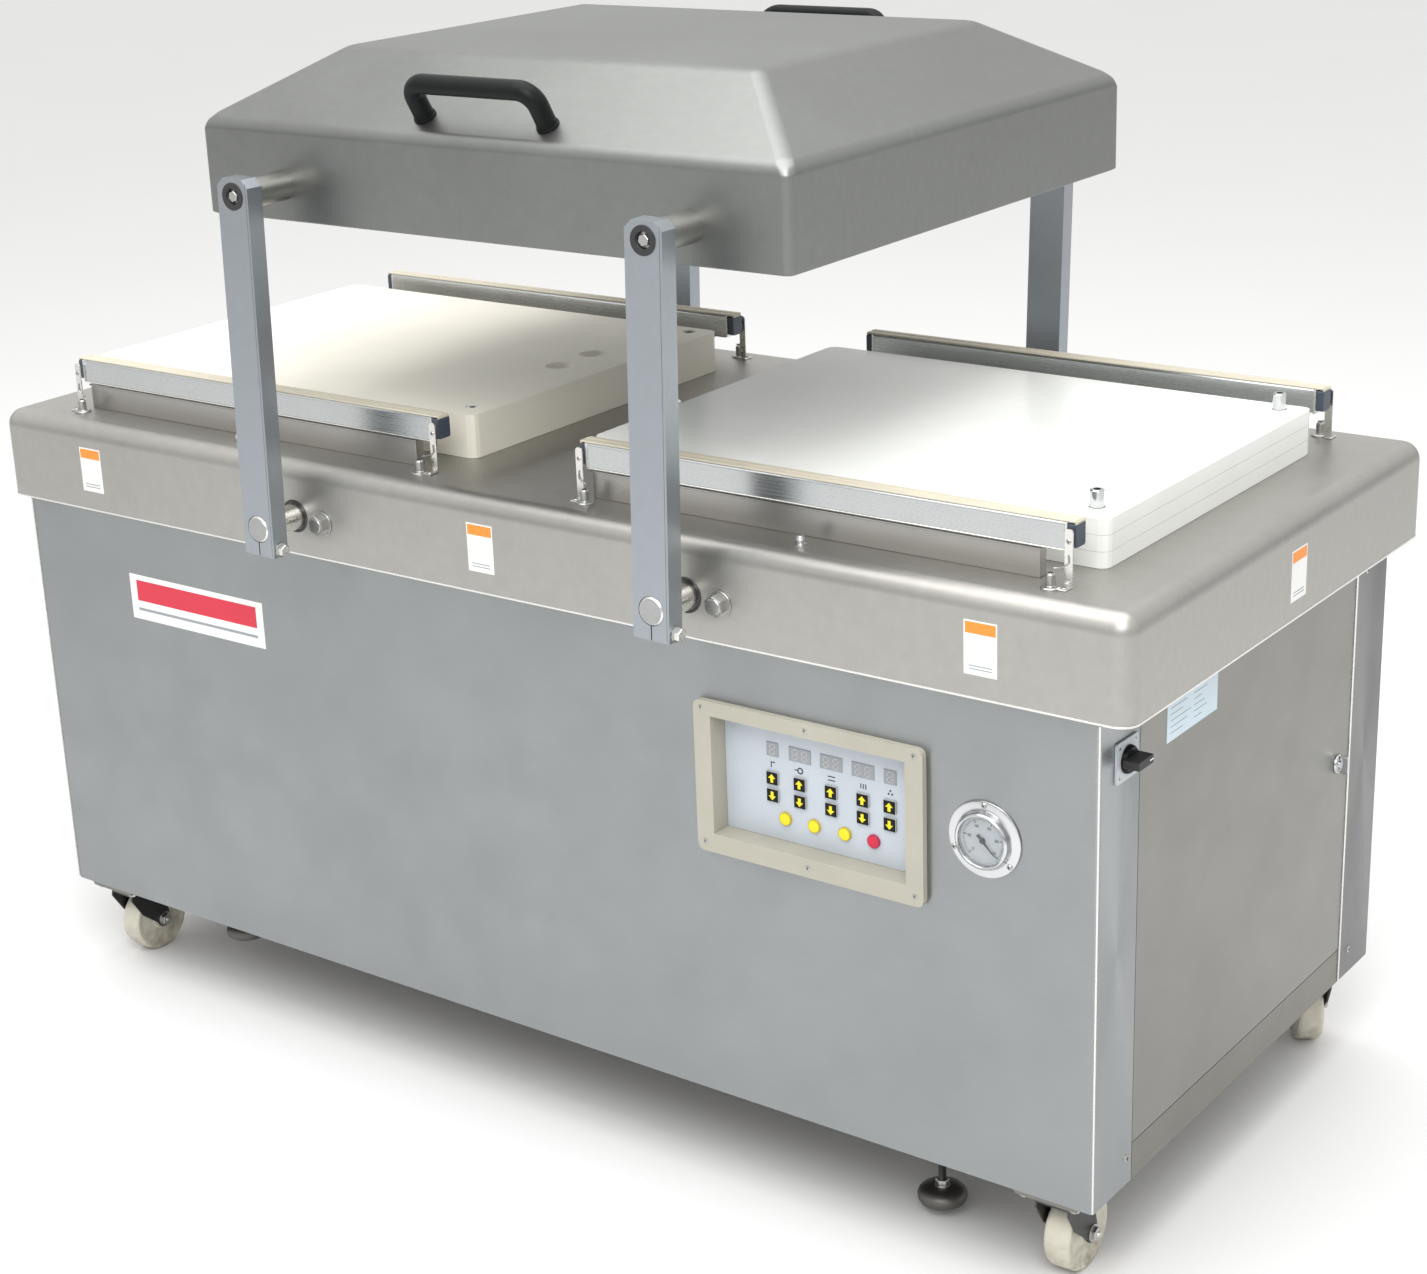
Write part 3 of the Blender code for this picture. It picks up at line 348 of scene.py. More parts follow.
def prism(outline, axis, low, high, radius=0.0, segments=2):
    """An outline of the two other coordinates, pulled along one axis."""
    shape = bmesh.new()
    others = [index for index in range(3) if index != axis]
    corners = []
    for first, second in outline:
        point = Vector((0, 0, 0))
        point[axis], point[others[0]], point[others[1]] = low, first, second
        corners.append(shape.verts.new(point))
    face = shape.faces.new(corners)
    pulled = bmesh.ops.extrude_face_region(shape, geom=[face])
    step = Vector((0, 0, 0))
    step[axis] = high - low
    moved = [item for item in pulled["geom"] if isinstance(item, bmesh.types.BMVert)]
    bmesh.ops.translate(shape, verts=moved, vec=step)
    bmesh.ops.recalc_face_normals(shape, faces=shape.faces)
    if radius:
        bmesh.ops.bevel(shape, geom=list(shape.edges), offset=radius, segments=segments, profile=0.5, affect="EDGES")
    return shape


def hexagon(centre, axis, flats, height, roll=0.0):
    """A hexagon head or nut with a chamfered top."""
    turn = Matrix.Translation(centre) @ Vector(axis).to_track_quat("Z", "Y").to_matrix().to_4x4()
    turn = turn @ Matrix.Rotation(roll, 4, "Z")
    radius = flats / math.sqrt(3)
    shape = bmesh.new()
    rings = []
    for scale, z in ((1, 0), (1, height * 0.84), (0.90, height), (0, height)):
        if scale == 0:
            rings.append([shape.verts.new(turn @ Vector((0, 0, z)))])
            continue
        angles = [math.radians(60 * index) for index in range(6)]
        rings.append([shape.verts.new(turn @ Vector((radius * scale * math.cos(a), radius * scale * math.sin(a), z))) for a in angles])
    shape.faces.new(rings[0][::-1])
    for one, two in zip(rings, rings[1:]):
        for index in range(6):
            after = (index + 1) % 6
            corners = list(dict.fromkeys((one[index], one[after], two[after % len(two)], two[index % len(two)])))
            shape.faces.new(corners)
    bmesh.ops.recalc_face_normals(shape, faces=shape.faces)
    return shape


def tube(points, radius, sides=16, squeeze=1.0, normal=None):
    """A round or oval tube along points."""
    points = [Vector(p) for p in points]
    shape = bmesh.new()
    rings = []
    across = normal
    for index, point in enumerate(points):
        ahead = (points[min(index + 1, len(points) - 1)] - points[max(index - 1, 0)]).normalized()
        if across is None:
            across = ahead.orthogonal()
        across = (across - ahead * across.dot(ahead)).normalized()
        other = ahead.cross(across)
        angles = [2 * math.pi * step / sides for step in range(sides)]
        rings.append([shape.verts.new(point + across * radius * math.cos(a) + other * radius * squeeze * math.sin(a)) for a in angles])
    for one, two in zip(rings, rings[1:]):
        for index in range(sides):
            after = (index + 1) % sides
            shape.faces.new((one[index], one[after], two[after], two[index]))
    shape.faces.new(rings[0][::-1])
    shape.faces.new(rings[-1])
    bmesh.ops.recalc_face_normals(shape, faces=shape.faces)
    return shape


def arc(centre, radius, start, end, steps):
    """Points on an arc, angles in degrees."""
    angles = [math.radians(start + (end - start) * index / steps) for index in range(steps + 1)]
    return [(centre[0] + radius * math.cos(a), centre[1] + radius * math.sin(a)) for a in angles]


def smooth_path(points, steps=8):
    """A Catmull-Rom curve through points."""
    points = [Vector(p) for p in points]
    padded = [2 * points[0] - points[1]] + points + [2 * points[-1] - points[-2]]
    curve = []
    for a, b, c, d in zip(padded, padded[1:], padded[2:], padded[3:]):
        for step in range(steps):
            t = step / steps
            curve.append(0.5 * (2 * b + (c - a) * t + (2 * a - 5 * b + 4 * c - d) * t * t + (3 * b - a - 3 * c + d) * t ** 3))
    return curve + [points[-1]]


def cross_screw(centre, axis, radius, height=0.0018, roll=0.4):
    """A domed screw head whose cross recess is two dark bars laid over the dome, painted shade, as (shape, material)
    pairs.
    """
    axis = Vector(axis).normalized()
    profile = [(0, 0), (radius, 0), (radius, height * 0.35), (radius * 0.75, height * 0.85), (0, height)]
    parts = [(lathe(profile, centre, axis, 20), ZINC)]
    turn = Matrix.Translation(Vector(centre) + axis * height * 0.80) @ axis.to_track_quat("Z", "Y").to_matrix().to_4x4()
    # The cross recess is drawn as two dark bars over the dome: painted shade.
    for index in range(2):
        spin = turn @ Matrix.Rotation(roll + index * math.pi / 2, 4, "Z")
        long, wide = radius * 0.55, radius * 0.11
        parts.append((block((-long, -wide, -height * 0.3), (long, wide, height * 0.28), turn=spin), DARK_STEEL))
    return parts


# ---------------------------------------------------------------- objects

def piece(name, body, parts, stands_for=(), angle=35, weighted=True):
    """One object from (shape, material) pairs in the frame's coordinates, riding on a body."""
    merged = bmesh.new()
    materials = []
    for shape, material in parts:
        if material not in materials:
            materials.append(material)
        for face in shape.faces:
            face.material_index = materials.index(material)
        mesh = bpy.data.meshes.new("part")
        shape.to_mesh(mesh)
        shape.free()
        merged.from_mesh(mesh)
        bpy.data.meshes.remove(mesh)
    mesh = bpy.data.meshes.new(name)
    merged.to_mesh(mesh)
    merged.free()
    mesh.shade_smooth()
    mesh.set_sharp_from_angle(angle=math.radians(angle))
    for material in materials:
        mesh.materials.append(material)
    obj = bpy.data.objects.new(name, mesh)
    bpy.context.scene.collection.objects.link(obj)
    if weighted:
        modifier = obj.modifiers.new("Normals", "WEIGHTED_NORMAL")
        modifier.keep_sharp = True
    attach(obj, body)
    if stands_for:
        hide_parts(*stands_for)
    return obj


def dress(node, material, bevel=0.0, segments=2):
    """Give a CAD node its material, and soften its edges."""
    obj = NODES[node]
    obj.data.materials.clear()
    obj.data.materials.append(material)
    if bevel:
        modifier = obj.modifiers.new("Edges", "BEVEL")
        modifier.width = bevel
        modifier.segments = segments
        modifier.limit_method = "ANGLE"
        modifier.angle_limit = math.radians(40)
        modifier.harden_normals = True
        for polygon in obj.data.polygons:
            polygon.use_smooth = True


# ---------------------------------------------------------------- lid

def lid_skin(segments):
    """The lid's outer skin: a skirt, four slopes and a flat top, open below."""
    shape = bmesh.new()
    rings = []
    levels = ((0, 0, 1.175), (0, 0, 1.294), (0.135, 0.140, 1.377))
    for inset_x, inset_y, z in levels:
        a, b = 0.457 - inset_x, 0.3816 - inset_y
        rings.append([shape.verts.new((LID_X + a * u, b * v, z)) for u, v in ((-1, -1), (1, -1), (1, 1), (-1, 1))])
    for one, two in zip(rings, rings[1:]):
        for index in range(4):
            after = (index + 1) % 4
            shape.faces.new((one[index], one[after], two[after], two[index]))
    shape.faces.new(rings[2])
    edges = [e for e in shape.edges if any(v.co.z > 1.1751 for v in e.verts)]
    bmesh.ops.bevel(shape, geom=edges, offset=0.012, segments=segments, profile=0.5, affect="EDGES")
    return shape


def shell(obj, thickness, rim):
    """Give an open skin its wall, with a softened rim."""
    wall = obj.modifiers.new("Wall", "SOLIDIFY")
    wall.thickness = thickness
    wall.offset = -1
    wall.use_even_offset = True
    edge = obj.modifiers.new("Rim", "BEVEL")
    edge.width = rim
    edge.segments = 2
    edge.limit_method = "ANGLE"
    edge.angle_limit = math.radians(70)
    normals = obj.modifiers.new("Normals", "WEIGHTED_NORMAL")
    normals.keep_sharp = True


def build_lid():
    lid = piece("lid_skin", "lid", [(lid_skin(6), LID_STEEL)], ["lid_shell"], weighted=False)
    shell(lid, 0.003, 0.0008)
    parts = []
    for _, side in SIDES:
        for _, end in ENDS:
            x = side * PIVOT_X + HEAD_SHIFT
            root, face = Vector((x, end * 0.3800, HEAD_Z)), Vector((x, end * 0.4412, HEAD_Z))
            parts.append((rod(root, face, 0.019, 40, 0.0010), STUD_STEEL))
            tip = Vector((x, end * 0.4580, HEAD_Z))
            parts.append((rod(face, tip, 0.008, 24), DARK_STEEL))
            parts.append((ring(Vector((x, end * 0.4606, HEAD_Z)), (0, end, 0), 0.002, 0.0098, 0.0016), ZINC))
            parts.append((hexagon(Vector((x, end * 0.4622, HEAD_Z)), (0, end, 0), 0.0130, 0.0050, 0.3 + side), ZINC))
            inner = Vector((x, end * 0.3780, HEAD_Z))
            parts.append((ring(inner, (0, -end, 0), 0.004, 0.016, 0.003), TURNED_STEEL))
            parts.append((hexagon(inner - Vector((0, end * 0.003, 0)), (0, -end, 0), 0.019, 0.008), ZINC))
    piece("lid_studs", "lid", parts)
    for name, end in ENDS:
        y = end * 0.322
        strip = block((LID_X - 0.385, y - 0.009, 1.2548), (LID_X + 0.385, y + 0.009, 1.2564), 0.0006, 2)
        # The black strip showing either side of the silicone stands for the shade in its slot: painted shade.
        shade_strip = block((LID_X - 0.390, y - 0.0115, 1.2553), (LID_X + 0.390, y + 0.0115, 1.2562), 0.0003)
        piece(f"counter_bar_silicone_{name}", "lid", [(strip, GASKET), (shade_strip, BLACK_MATT)])
        dress(f"counter_bar_{name}", BAR_ALUMINIUM, 0.001)
    ribs = []
    for y in (-0.19, 0.0, 0.19):
        ribs.append((block((LID_X - 0.28, y - 0.012, 1.3690), (LID_X + 0.28, y + 0.012, 1.3735), 0.001), LID_STEEL))
    piece("lid_ribs", "lid", ribs)
    dress("lid_gasket", GASKET, 0.002, 3)


def build_handles():
    pitch = math.atan2(1.377 - 1.294, 0.140)
    foot_z = 1.294 + (0.3816 - 0.350) * math.tan(pitch)
    bend, half, rise = 0.022, 0.096, 0.051
    path = [(-half, 0.0008), (-half, 0.012)] + arc((bend - half, rise - bend), bend, 180, 90, 10)
    path += arc((half - bend, rise - bend), bend, 90, 0, 10) + [(half, 0.012), (half, 0.0008)]
    for name, end in ENDS:
        foot = Vector((LID_X, end * 0.350, foot_z))
        outward = Vector((0, end * math.sin(pitch), math.cos(pitch)))
        upslope = Vector((0, -end * math.cos(pitch), math.sin(pitch)))
        points = [foot + X * a + outward * b for a, b in path]
        parts = [(tube(points, 0.0134, 28, 0.86, upslope), BLACK)]
        for side in (-1, 1):
            centre = foot + X * side * half
            turn = Matrix.Translation(centre) @ outward.to_track_quat("Z", "Y").to_matrix().to_4x4()
            flange = lathe([(0, 0.0003), (0.0140, 0.0003), (0.0146, 0.0015), (0.0140, 0.0032), (0.0128, 0.0036), (0, 0.0036)], (0, 0, 0), Z, 36)
            flange.transform(turn)
            parts.append((flange, BLACK))
        piece(f"lid_handle_bow_{name}", "lid", parts, [f"lid_handle_{name}"], 50)


# ---------------------------------------------------------------- linkage

def leaned(shape, side):
    shape.transform(Matrix.Translation((side * PIVOT_X, 0, PIVOT_Z)) @ Matrix.Rotation(LEAN, 4, "Y"))
    return shape


def build_linkage():
    for side_name, side in SIDES:
        parts = []
        for end_name, end in ENDS:
            dress(f"arm_{end_name}_{side_name}", ARM_ALUMINIUM, 0.0009)
            face, back = end * ARM_FACE, end * ARM_BACK
            out = (0, end, 0)
            parts.append((leaned(ring((0, end * 0.4602, 0.43256), out, 0.0100, 0.0158, 0.0060, 40), side), BLACK_MATT))
            parts.append((leaned(ring((0, end * 0.46705, 0.43256), out, 0.0104, 0.0172, 0.0013, 48), side), BLACK_MATT))
            middle = (face + back) / 2
            parts.append((leaned(ring((0.0262, middle, -0.0265), X, 0.003, 0.0100, 0.0016), side), ZINC))
            parts.append((leaned(hexagon((0.0278, middle, -0.0265), X, 0.0150, 0.0075, 0.5), side), EDGE_STEEL))
            cap = [(0, 0), (0.0065, 0), (0.0065, 0.004), (0.0045, 0.0065), (0, 0.0072)]
            parts.append((leaned(lathe(cap, (-0.0262, middle, -0.0265), -X, 24), side), ZINC))
            # A thin dark strip down the arm's face by its edge: painted shade of the step there.
            shade_strip = block((0.0225, face - end * 0.0001 - 0.0002, -0.034), (0.0229, face + 0.0002, 0.450))
            parts.append((leaned(shade_strip, side), DARK_STEEL))
        piece(f"arm_fasteners_{side_name}", f"{side_name}_arms", parts)
        half = 0.4684
        profile = [(0, -half), (0.0158, -half), (0.0175, 0.0017 - half), (0.0175, half - 0.0017), (0.0158, half), (0, half)]
        shaft = [(lathe(profile, (side * PIVOT_X, 0, PIVOT_Z), Y, 64), EDGE_STEEL)]
        for end in (-1, 1):
            start = Vector((side * PIVOT_X, end * (half - 0.0004), PIVOT_Z))
            shaft.append((lathe([(0, 0), (0.0155, 0), (0.0155, 0.0005), (0, 0.0005)], start, (0, end, 0), 48), SHAFT_STEEL))
        piece(f"swing_shaft_turned_{side_name}", f"{side_name}_arms", shaft, [f"swing_shaft_{side_name}"])


# ---------------------------------------------------------------- deck

def build_deck():
    outer = block((-0.8996, -0.3996, DECK_BOTTOM), (0.8996, 0.3996, DECK_TOP))
    edges = [e for e in outer.edges if any(v.co.z > DECK_BOTTOM + 1e-4 for v in e.verts)]
    bmesh.ops.bevel(outer, geom=edges, offset=0.024, segments=8, profile=0.5, affect="EDGES")
    floor = [f for f in outer.faces if all(v.co.z < DECK_BOTTOM + 1e-4 for v in f.verts)]
    bmesh.ops.delete(outer, geom=floor, context="FACES")
    deck = piece("deck_skin", "base", [(outer, DECK_STEEL)], ["deck"], weighted=False)
    shell(deck, 0.004, 0.0012)

    parts = []
    for _, side in SIDES:
        for _, end in ENDS:
            x = side * PIVOT_X
            parts.append((ring((x, end * 0.3990, PIVOT_Z), (0, end, 0), 0.0180, 0.0222, 0.0016), DARK_STEEL))
            parts.append((ring((x, end * 0.3960, PIVOT_Z), (0, -end, 0), 0.0185, 0.0310, 0.030), DARK_STEEL))
            for step in (-0.0485, 0.0485):
                place = Vector((x + step, end * 0.4000, 0.783))
                parts.append((ring(place, (0, end, 0), 0.004, 0.0172, 0.0018), ZINC))
                parts.append((hexagon(place + Vector((0, end * 0.0018, 0)), (0, end, 0), 0.0235, 0.0110, 0.2 + step * 9), ZINC))
                crown = [(0, 0), (0.0100, 0), (0.0090, 0.0010), (0, 0.0013)]
                parts.append((lathe(crown, place + Vector((0, end * 0.0127, 0)), (0, end, 0), 28), ZINC))
                parts.append((hexagon(Vector((x + step, end * 0.3960, 0.783)), (0, -end, 0), 0.0190, 0.0090), ZINC))
    piece("shaft_bearings", "base", parts)
    # A thin band of brighter steel round the skirt's bottom edge: partly the hem, partly a painted highlight along it.
    rim = block((-0.9, -0.4, 0.7326), (0.9, 0.4, 0.7352), 0.0235, 8, 2)
    caps = [f for f in rim.faces if abs(f.normal.z) > 0.9]
    bmesh.ops.delete(rim, geom=caps, context="FACES")
    shell(piece("deck_skirt_lip_highlight", "base", [(rim, EDGE_STEEL)], weighted=False), 0.0012, 0.0003)

    parts = []
    for _, side in SIDES:
        centre = side * CHAMBER_X
        for _, end in ENDS:
            low, high = sorted((end * 0.3275, end * 0.3115))
            parts.append((block((centre - 0.327, low, DECK_TOP), (centre + 0.294, high, 0.8905), 0.0012), CHANNEL_STEEL))
            lip_low, lip_high = sorted((end * 0.3290, end * 0.3100))
            parts.append((block((centre - 0.329, lip_low, 0.8905), (centre + 0.296, lip_high, 0.8930), 0.0006), TURNED_STEEL))
            for step in (-0.321, 0.321):
                site = Vector((centre + step, end * 0.352, DECK_TOP))
                foot = [(0, 0), (0.0115, 0), (0.0115, 0.0018), (0.0100, 0.0030), (0.0062, 0.0032), (0.0055, 0.0040), (0.0055, 0.0150), (0, 0.0150)]
                parts.append((lathe(foot, site, Z, 32), TURNED_STEEL))
                parts += cross_screw(site + Z * 0.0150, Z, 0.0052, 0.0034, 0.3 + step)
        nozzle = [(0, 0), (0.0080, 0), (0.0080, 0.0020), (0.0048, 0.0026), (0.0048, 0.0060), (0.0062, 0.0068), (0.0040, 0.0120), (0, 0.0120)]
        parts.append((lathe(nozzle, (centre, -0.358, DECK_TOP), Z, 28), CHROME))
    piece("deck_fittings", "base", parts)

    parts = []
    for side, rise, sites in (("right", 0.020, ((0.766, -0.228), (0.765, 0.250))), ("left", -0.001, ((-0.149, -0.228), (-0.150, 0.250)))):
        for x, y in sites:
            top = 0.916 + rise
            profile = [(0, DECK_TOP), (0.0085, DECK_TOP), (0.0085, top - 0.0012), (0.0073, top), (0.0042, top), (0.0042, top - 0.006), (0, top - 0.006)]
            parts.append((lathe(profile, (x, y, 0), Z, 36), CHROME))
    piece("board_pins", "base", parts)
    build_port()


def build_port():
    """The perforated strainer over the suction port."""
    base, top, radius = DECK_TOP, DECK_TOP + 0.032, 0.0190
    parts = [(lathe([(0.0172, 0), (0.0235, 0), (0.0235, 0.0020), (0.0225, 0.0028), (0.0172, 0.0028)], (0, 0, base), Z, 48), CHROME)]
    profile = [(0, 0), (radius - 0.002, 0), (radius - 0.002, 0.0260), (radius - 0.0025, 0.0300), (radius - 0.006, 0.0320), (0, 0.0320)]
    parts.append((lathe(profile, (0, 0, base), Z, 48), CHROME))
    # The strainer's holes, round its side and on its top, are dark discs: painted shade standing for the openings.
    for row in range(4):
        for column in range(14):
            angle = 2 * math.pi * (column + 0.5 * (row % 2)) / 14
            out = Vector((math.cos(angle), math.sin(angle), 0))
            centre = Vector((0, 0, base + 0.0065 + row * 0.0058)) + out * (radius - 0.0022)
            parts.append((lathe([(0, 0), (0.0019, 0), (0.0019, 0.0005), (0, 0.0005)], centre, out, 10), PRINT))
    for radius_, count in ((0.0, 1), (0.0055, 6), (0.0105, 12)):
        for index in range(count):
            angle = 2 * math.pi * index / count
            centre = (radius_ * math.cos(angle), radius_ * math.sin(angle), top - 0.0002)
            parts.append((lathe([(0, 0), (0.0017, 0), (0.0017, 0.0003), (0, 0.0003)], centre, Z, 10), PRINT))
    piece("port_strainer", "base", parts)


def build_boards():
    for place in ("lower", "middle", "upper"):
        dress(f"right_filler_board_{place}", WHITE_BOARD, 0.0008)
    dress("left_filler_board", CREAM_BOARD, 0.0018, 3)
    dish = [(0, -0.0062), (0.0080, -0.0058), (0.0140, -0.0042), (0.0180, -0.0016), (0.0194, 0.0), (0.0194, -0.0100), (0, -0.0100)]
    for name, board, top, sites in (("right", WHITE_BOARD, 0.9156, ((0.726, 0.000), (0.727, 0.074))),
                                    ("left", CREAM_BOARD, 0.9160, ((-0.188, 0.000), (-0.190, 0.077)))):
        parts = [(lathe(dish, (x, y, top - 0.0004), Z, 48), board) for x, y in sites]
        piece(f"board_dimples_{name}", "base", parts)


def build_seal_bars():
    for side_name, side in SIDES:
        for end_name, end in ENDS:
            body = f"seal_bar_{end_name}_{side_name}"
            centre, y = side * CHAMBER_X, end * 0.322
            parts = []
            outline = [(y - 0.0128, 0.8985), (y + 0.0128, 0.8985), (y + 0.0128, 0.9265), (y + 0.0112, 0.9287), (y - 0.0112, 0.9287), (y - 0.0128, 0.9265)]
            parts.append((prism(outline, 0, centre - 0.3285, centre + 0.3285, 0.0005, 1), BAR_ALUMINIUM))
            parts.append((block((centre - 0.3285, y - 0.0136, 0.8970), (centre + 0.3285, y + 0.0136, 0.8986), 0.0004, 1), EDGE_STEEL))
            parts.append((block((centre - 0.3400, y - 0.0108, 0.9284), (centre + 0.3400, y + 0.0108, 0.9312), 0.0012, 3), TAPE))
            parts.append((tube([(centre - 0.338, y, 0.9308), (centre + 0.338, y, 0.9308)], 0.0012, 10), TAPE))
            for step in (-1, 1):
                a, b = sorted((centre + step * 0.3310, centre + step * 0.3408))
                parts.append((block((a, y - 0.0108, 0.9005), (b, y + 0.0108, 0.9275), 0.0030, 4, 0), END_BLOCK))
                for rib in range(5):
                    z = 0.9045 + rib * 0.0048
                    c, d = sorted((centre + step * 0.3405, centre + step * 0.3414))
                    parts.append((block((c, y - 0.0090, z - 0.0008), (d, y + 0.0090, z + 0.0008), 0.0003, 1), END_BLOCK))
                a, b = sorted((centre + step * 0.3283, centre + step * 0.3312))
                parts.append((block((a, y - 0.0130, 0.8975), (b, y + 0.0130, 0.9290), 0.0008), EDGE_STEEL))
                c, d = sorted((centre + step * 0.3385, centre + step * 0.3412))
                parts.append((block((c, y - 0.0100, 0.9262), (d, y + 0.0100, 0.9300), 0.0013, 3), TAPE))
            piece(f"{body}_built", body, parts, [body])


def build_brackets():
    """Upright strips beside the posts, each with a screwed foot and a spring clip."""
    parts = []
    for _, side in SIDES:
        for _, end in ENDS:
            for step in (-1, 1):
                x = side * CHAMBER_X + step * 0.3365
                low, high = sorted((end * 0.3390, end * 0.3408))
                parts.append((block((x - 0.0050, low, 0.8600), (x + 0.0050, high, 0.9240), 0.0046, 5, 1), EDGE_STEEL))
                low, high = sorted((end * 0.3390, end * 0.3560))
                parts.append((block((x - 0.0050, low, 0.8582), (x + 0.0050, high, 0.8600), 0.0004, 1), EDGE_STEEL))
                parts += cross_screw((x, end * 0.3500, 0.8600), Z, 0.0032, 0.0016, 0.8)
                parts += cross_screw((x, end * 0.3408, 0.9100), (0, end, 0), 0.0030, 0.0014, 0.3)
                inner = side * CHAMBER_X + step * 0.321
                clip = [(inner, end * 0.3450, 0.8790), (inner + step * 0.006, end * 0.3430, 0.8800), (x, end * 0.3420, 0.8850), (x, end * 0.3412, 0.8950)]
                parts.append((tube(smooth_path(clip, 5), 0.0009, 8), ZINC))
    piece("seal_bar_brackets", "base", parts)


# ---------------------------------------------------------------- controls

def build_housing():
    dress("control_housing", BEIGE, 0.0006)
    parts = []
    for x in (0.3375, 0.4860, 0.6335):
        for z in (0.4765, 0.6500):
            if x != 0.4860 or z:
                parts += cross_screw((x, -0.4030, z), -Y, 0.0034, 0.0012, x * 7)
    piece("housing_screws", "base", parts)
    parts = []
    film = block((0.3512, KEY_FACE - 0.0004, 0.4892), (0.6208, KEY_FACE + 0.0006, 0.6398), 0.0001, 1)
    parts.append((film, FACE_FILM))
    piece("key_film", "base", parts)
    parts = []
    for column, (x, digits) in enumerate(zip(KEY_COLUMNS, (1, 2, 2, 2, 1))):
        half = 0.0070 * digits + 0.0015
        parts.append((block((x - half, KEY_FACE - 0.0014, 0.5945), (x + half, KEY_FACE - 0.0003, 0.6125), 0.0004, 1), DISPLAY))
        for digit in range(digits):
            centre = x + 0.0135 * (digit - (digits - 1) / 2)
            parts += seven_segments(centre, 0.6035)
        parts += symbol(column, x, 0.5838)
    piece("displays", "base", parts)


def seven_segments(x, z):
    """The unlit segments of one digit."""
    parts = []
    y = KEY_FACE - 0.0016
    wide, tall, thick = 0.0034, 0.0062, 0.0007
    for level in (-tall, 0, tall):
        parts.append((block((x - wide + 0.001, y, z + level - thick), (x + wide - 0.001, y + 0.0003, z + level + thick)), SEGMENT))
    for side in (-wide, wide):
        for level in (-tall / 2, tall / 2):
            low = (x + side - thick, y, z + level - tall / 2 + 0.001)
            parts.append((block(low, (x + side + thick, y + 0.0003, z + level + tall / 2 - 0.001)), SEGMENT))
    return parts


def symbol(kind, x, z):
    """A small plain mark over a column of keys."""
    y = KEY_FACE - 0.0007
    if kind == 0:
        shapes = [block((x - 0.003, y, z - 0.0035), (x - 0.0018, y + 0.0004, z + 0.0035)), block((x - 0.003, y, z + 0.0023), (x + 0.003, y + 0.0004, z + 0.0035))]
    elif kind == 1:
        shapes = [lathe([(0.0026, 0), (0.0042, 0), (0.0042, 0.0004), (0.0026, 0.0004)], (x, y, z), Y, 20), block((x - 0.008, y, z - 0.0006), (x - 0.004, y + 0.0004, z + 0.0006))]
    elif kind == 2:
        shapes = [block((x - 0.005, y, z + a), (x + 0.005, y + 0.0004, z + a + 0.0013)) for a in (-0.003, 0.0017)]
    elif kind == 3:
        shapes = [block((x + a, y, z - 0.003), (x + a + 0.0013, y + 0.0004, z + 0.003)) for a in (-0.004, -0.0006, 0.0028)]
    else:
        shapes = [lathe([(0, 0), (0.0013, 0), (0.0013, 0.0004), (0, 0.0004)], (x + a, y, z + b), Y, 12) for a, b in ((0, 0.0025), (0.0024, -0.0015), (-0.0024, -0.0015))]
    return [(shape, PRINT) for shape in shapes]


def build_keys():
    front = KEY_FACE - 0.004
    for column, x in enumerate(KEY_COLUMNS, start=1):
        for row, z in KEY_ROWS.items():
            name = f"key_{row}_{column}"
            cap = block((x - 0.0085, front + 0.0008, z - 0.0085), (x + 0.0085, KEY_FACE + 0.006, z + 0.0085), 0.0012, 2, 1)
            face = block((x - 0.0078, front, z - 0.0078), (x + 0.0078, front + 0.0016, z + 0.0078), 0.0007, 2)
            up = 1 if row == "up" else -1
            arrow = [(x - 0.0020, z - up * 0.0052), (x + 0.0020, z - up * 0.0052), (x + 0.0020, z + up * 0.0002), (x + 0.0052, z + up * 0.0002),
                     (x, z + up * 0.0058), (x - 0.0052, z + up * 0.0002), (x - 0.0020, z + up * 0.0002)]
            mark = prism(arrow, 1, front - 0.00003, front + 0.0003)
            piece(f"{name}_cap", name, [(cap, KEY_GREY), (face, BLACK), (mark, YELLOW)], [name])
    for use, x in ROUND_KEYS.items():
        name = f"key_{use}"
        cap, rim = (RED, DARK_RED) if use == "stop" else (YELLOW, AMBER)
        skirt = lathe([(0, 0.0100), (0.0085, 0.0100), (0.0085, 0.0010), (0.0080, 0.0004), (0.0072, 0.0004), (0, 0.0006)], (x, front, ROUND_KEY_Z), Y, 40)
        dome = lathe([(0, 0), (0.0050, 0.0001), (0.0070, 0.0004), (0.0072, 0.0012), (0, 0.0012)], (x, front, ROUND_KEY_Z), Y, 40)
        piece(f"{name}_cap", name, [(skirt, rim), (dome, cap)], [name])


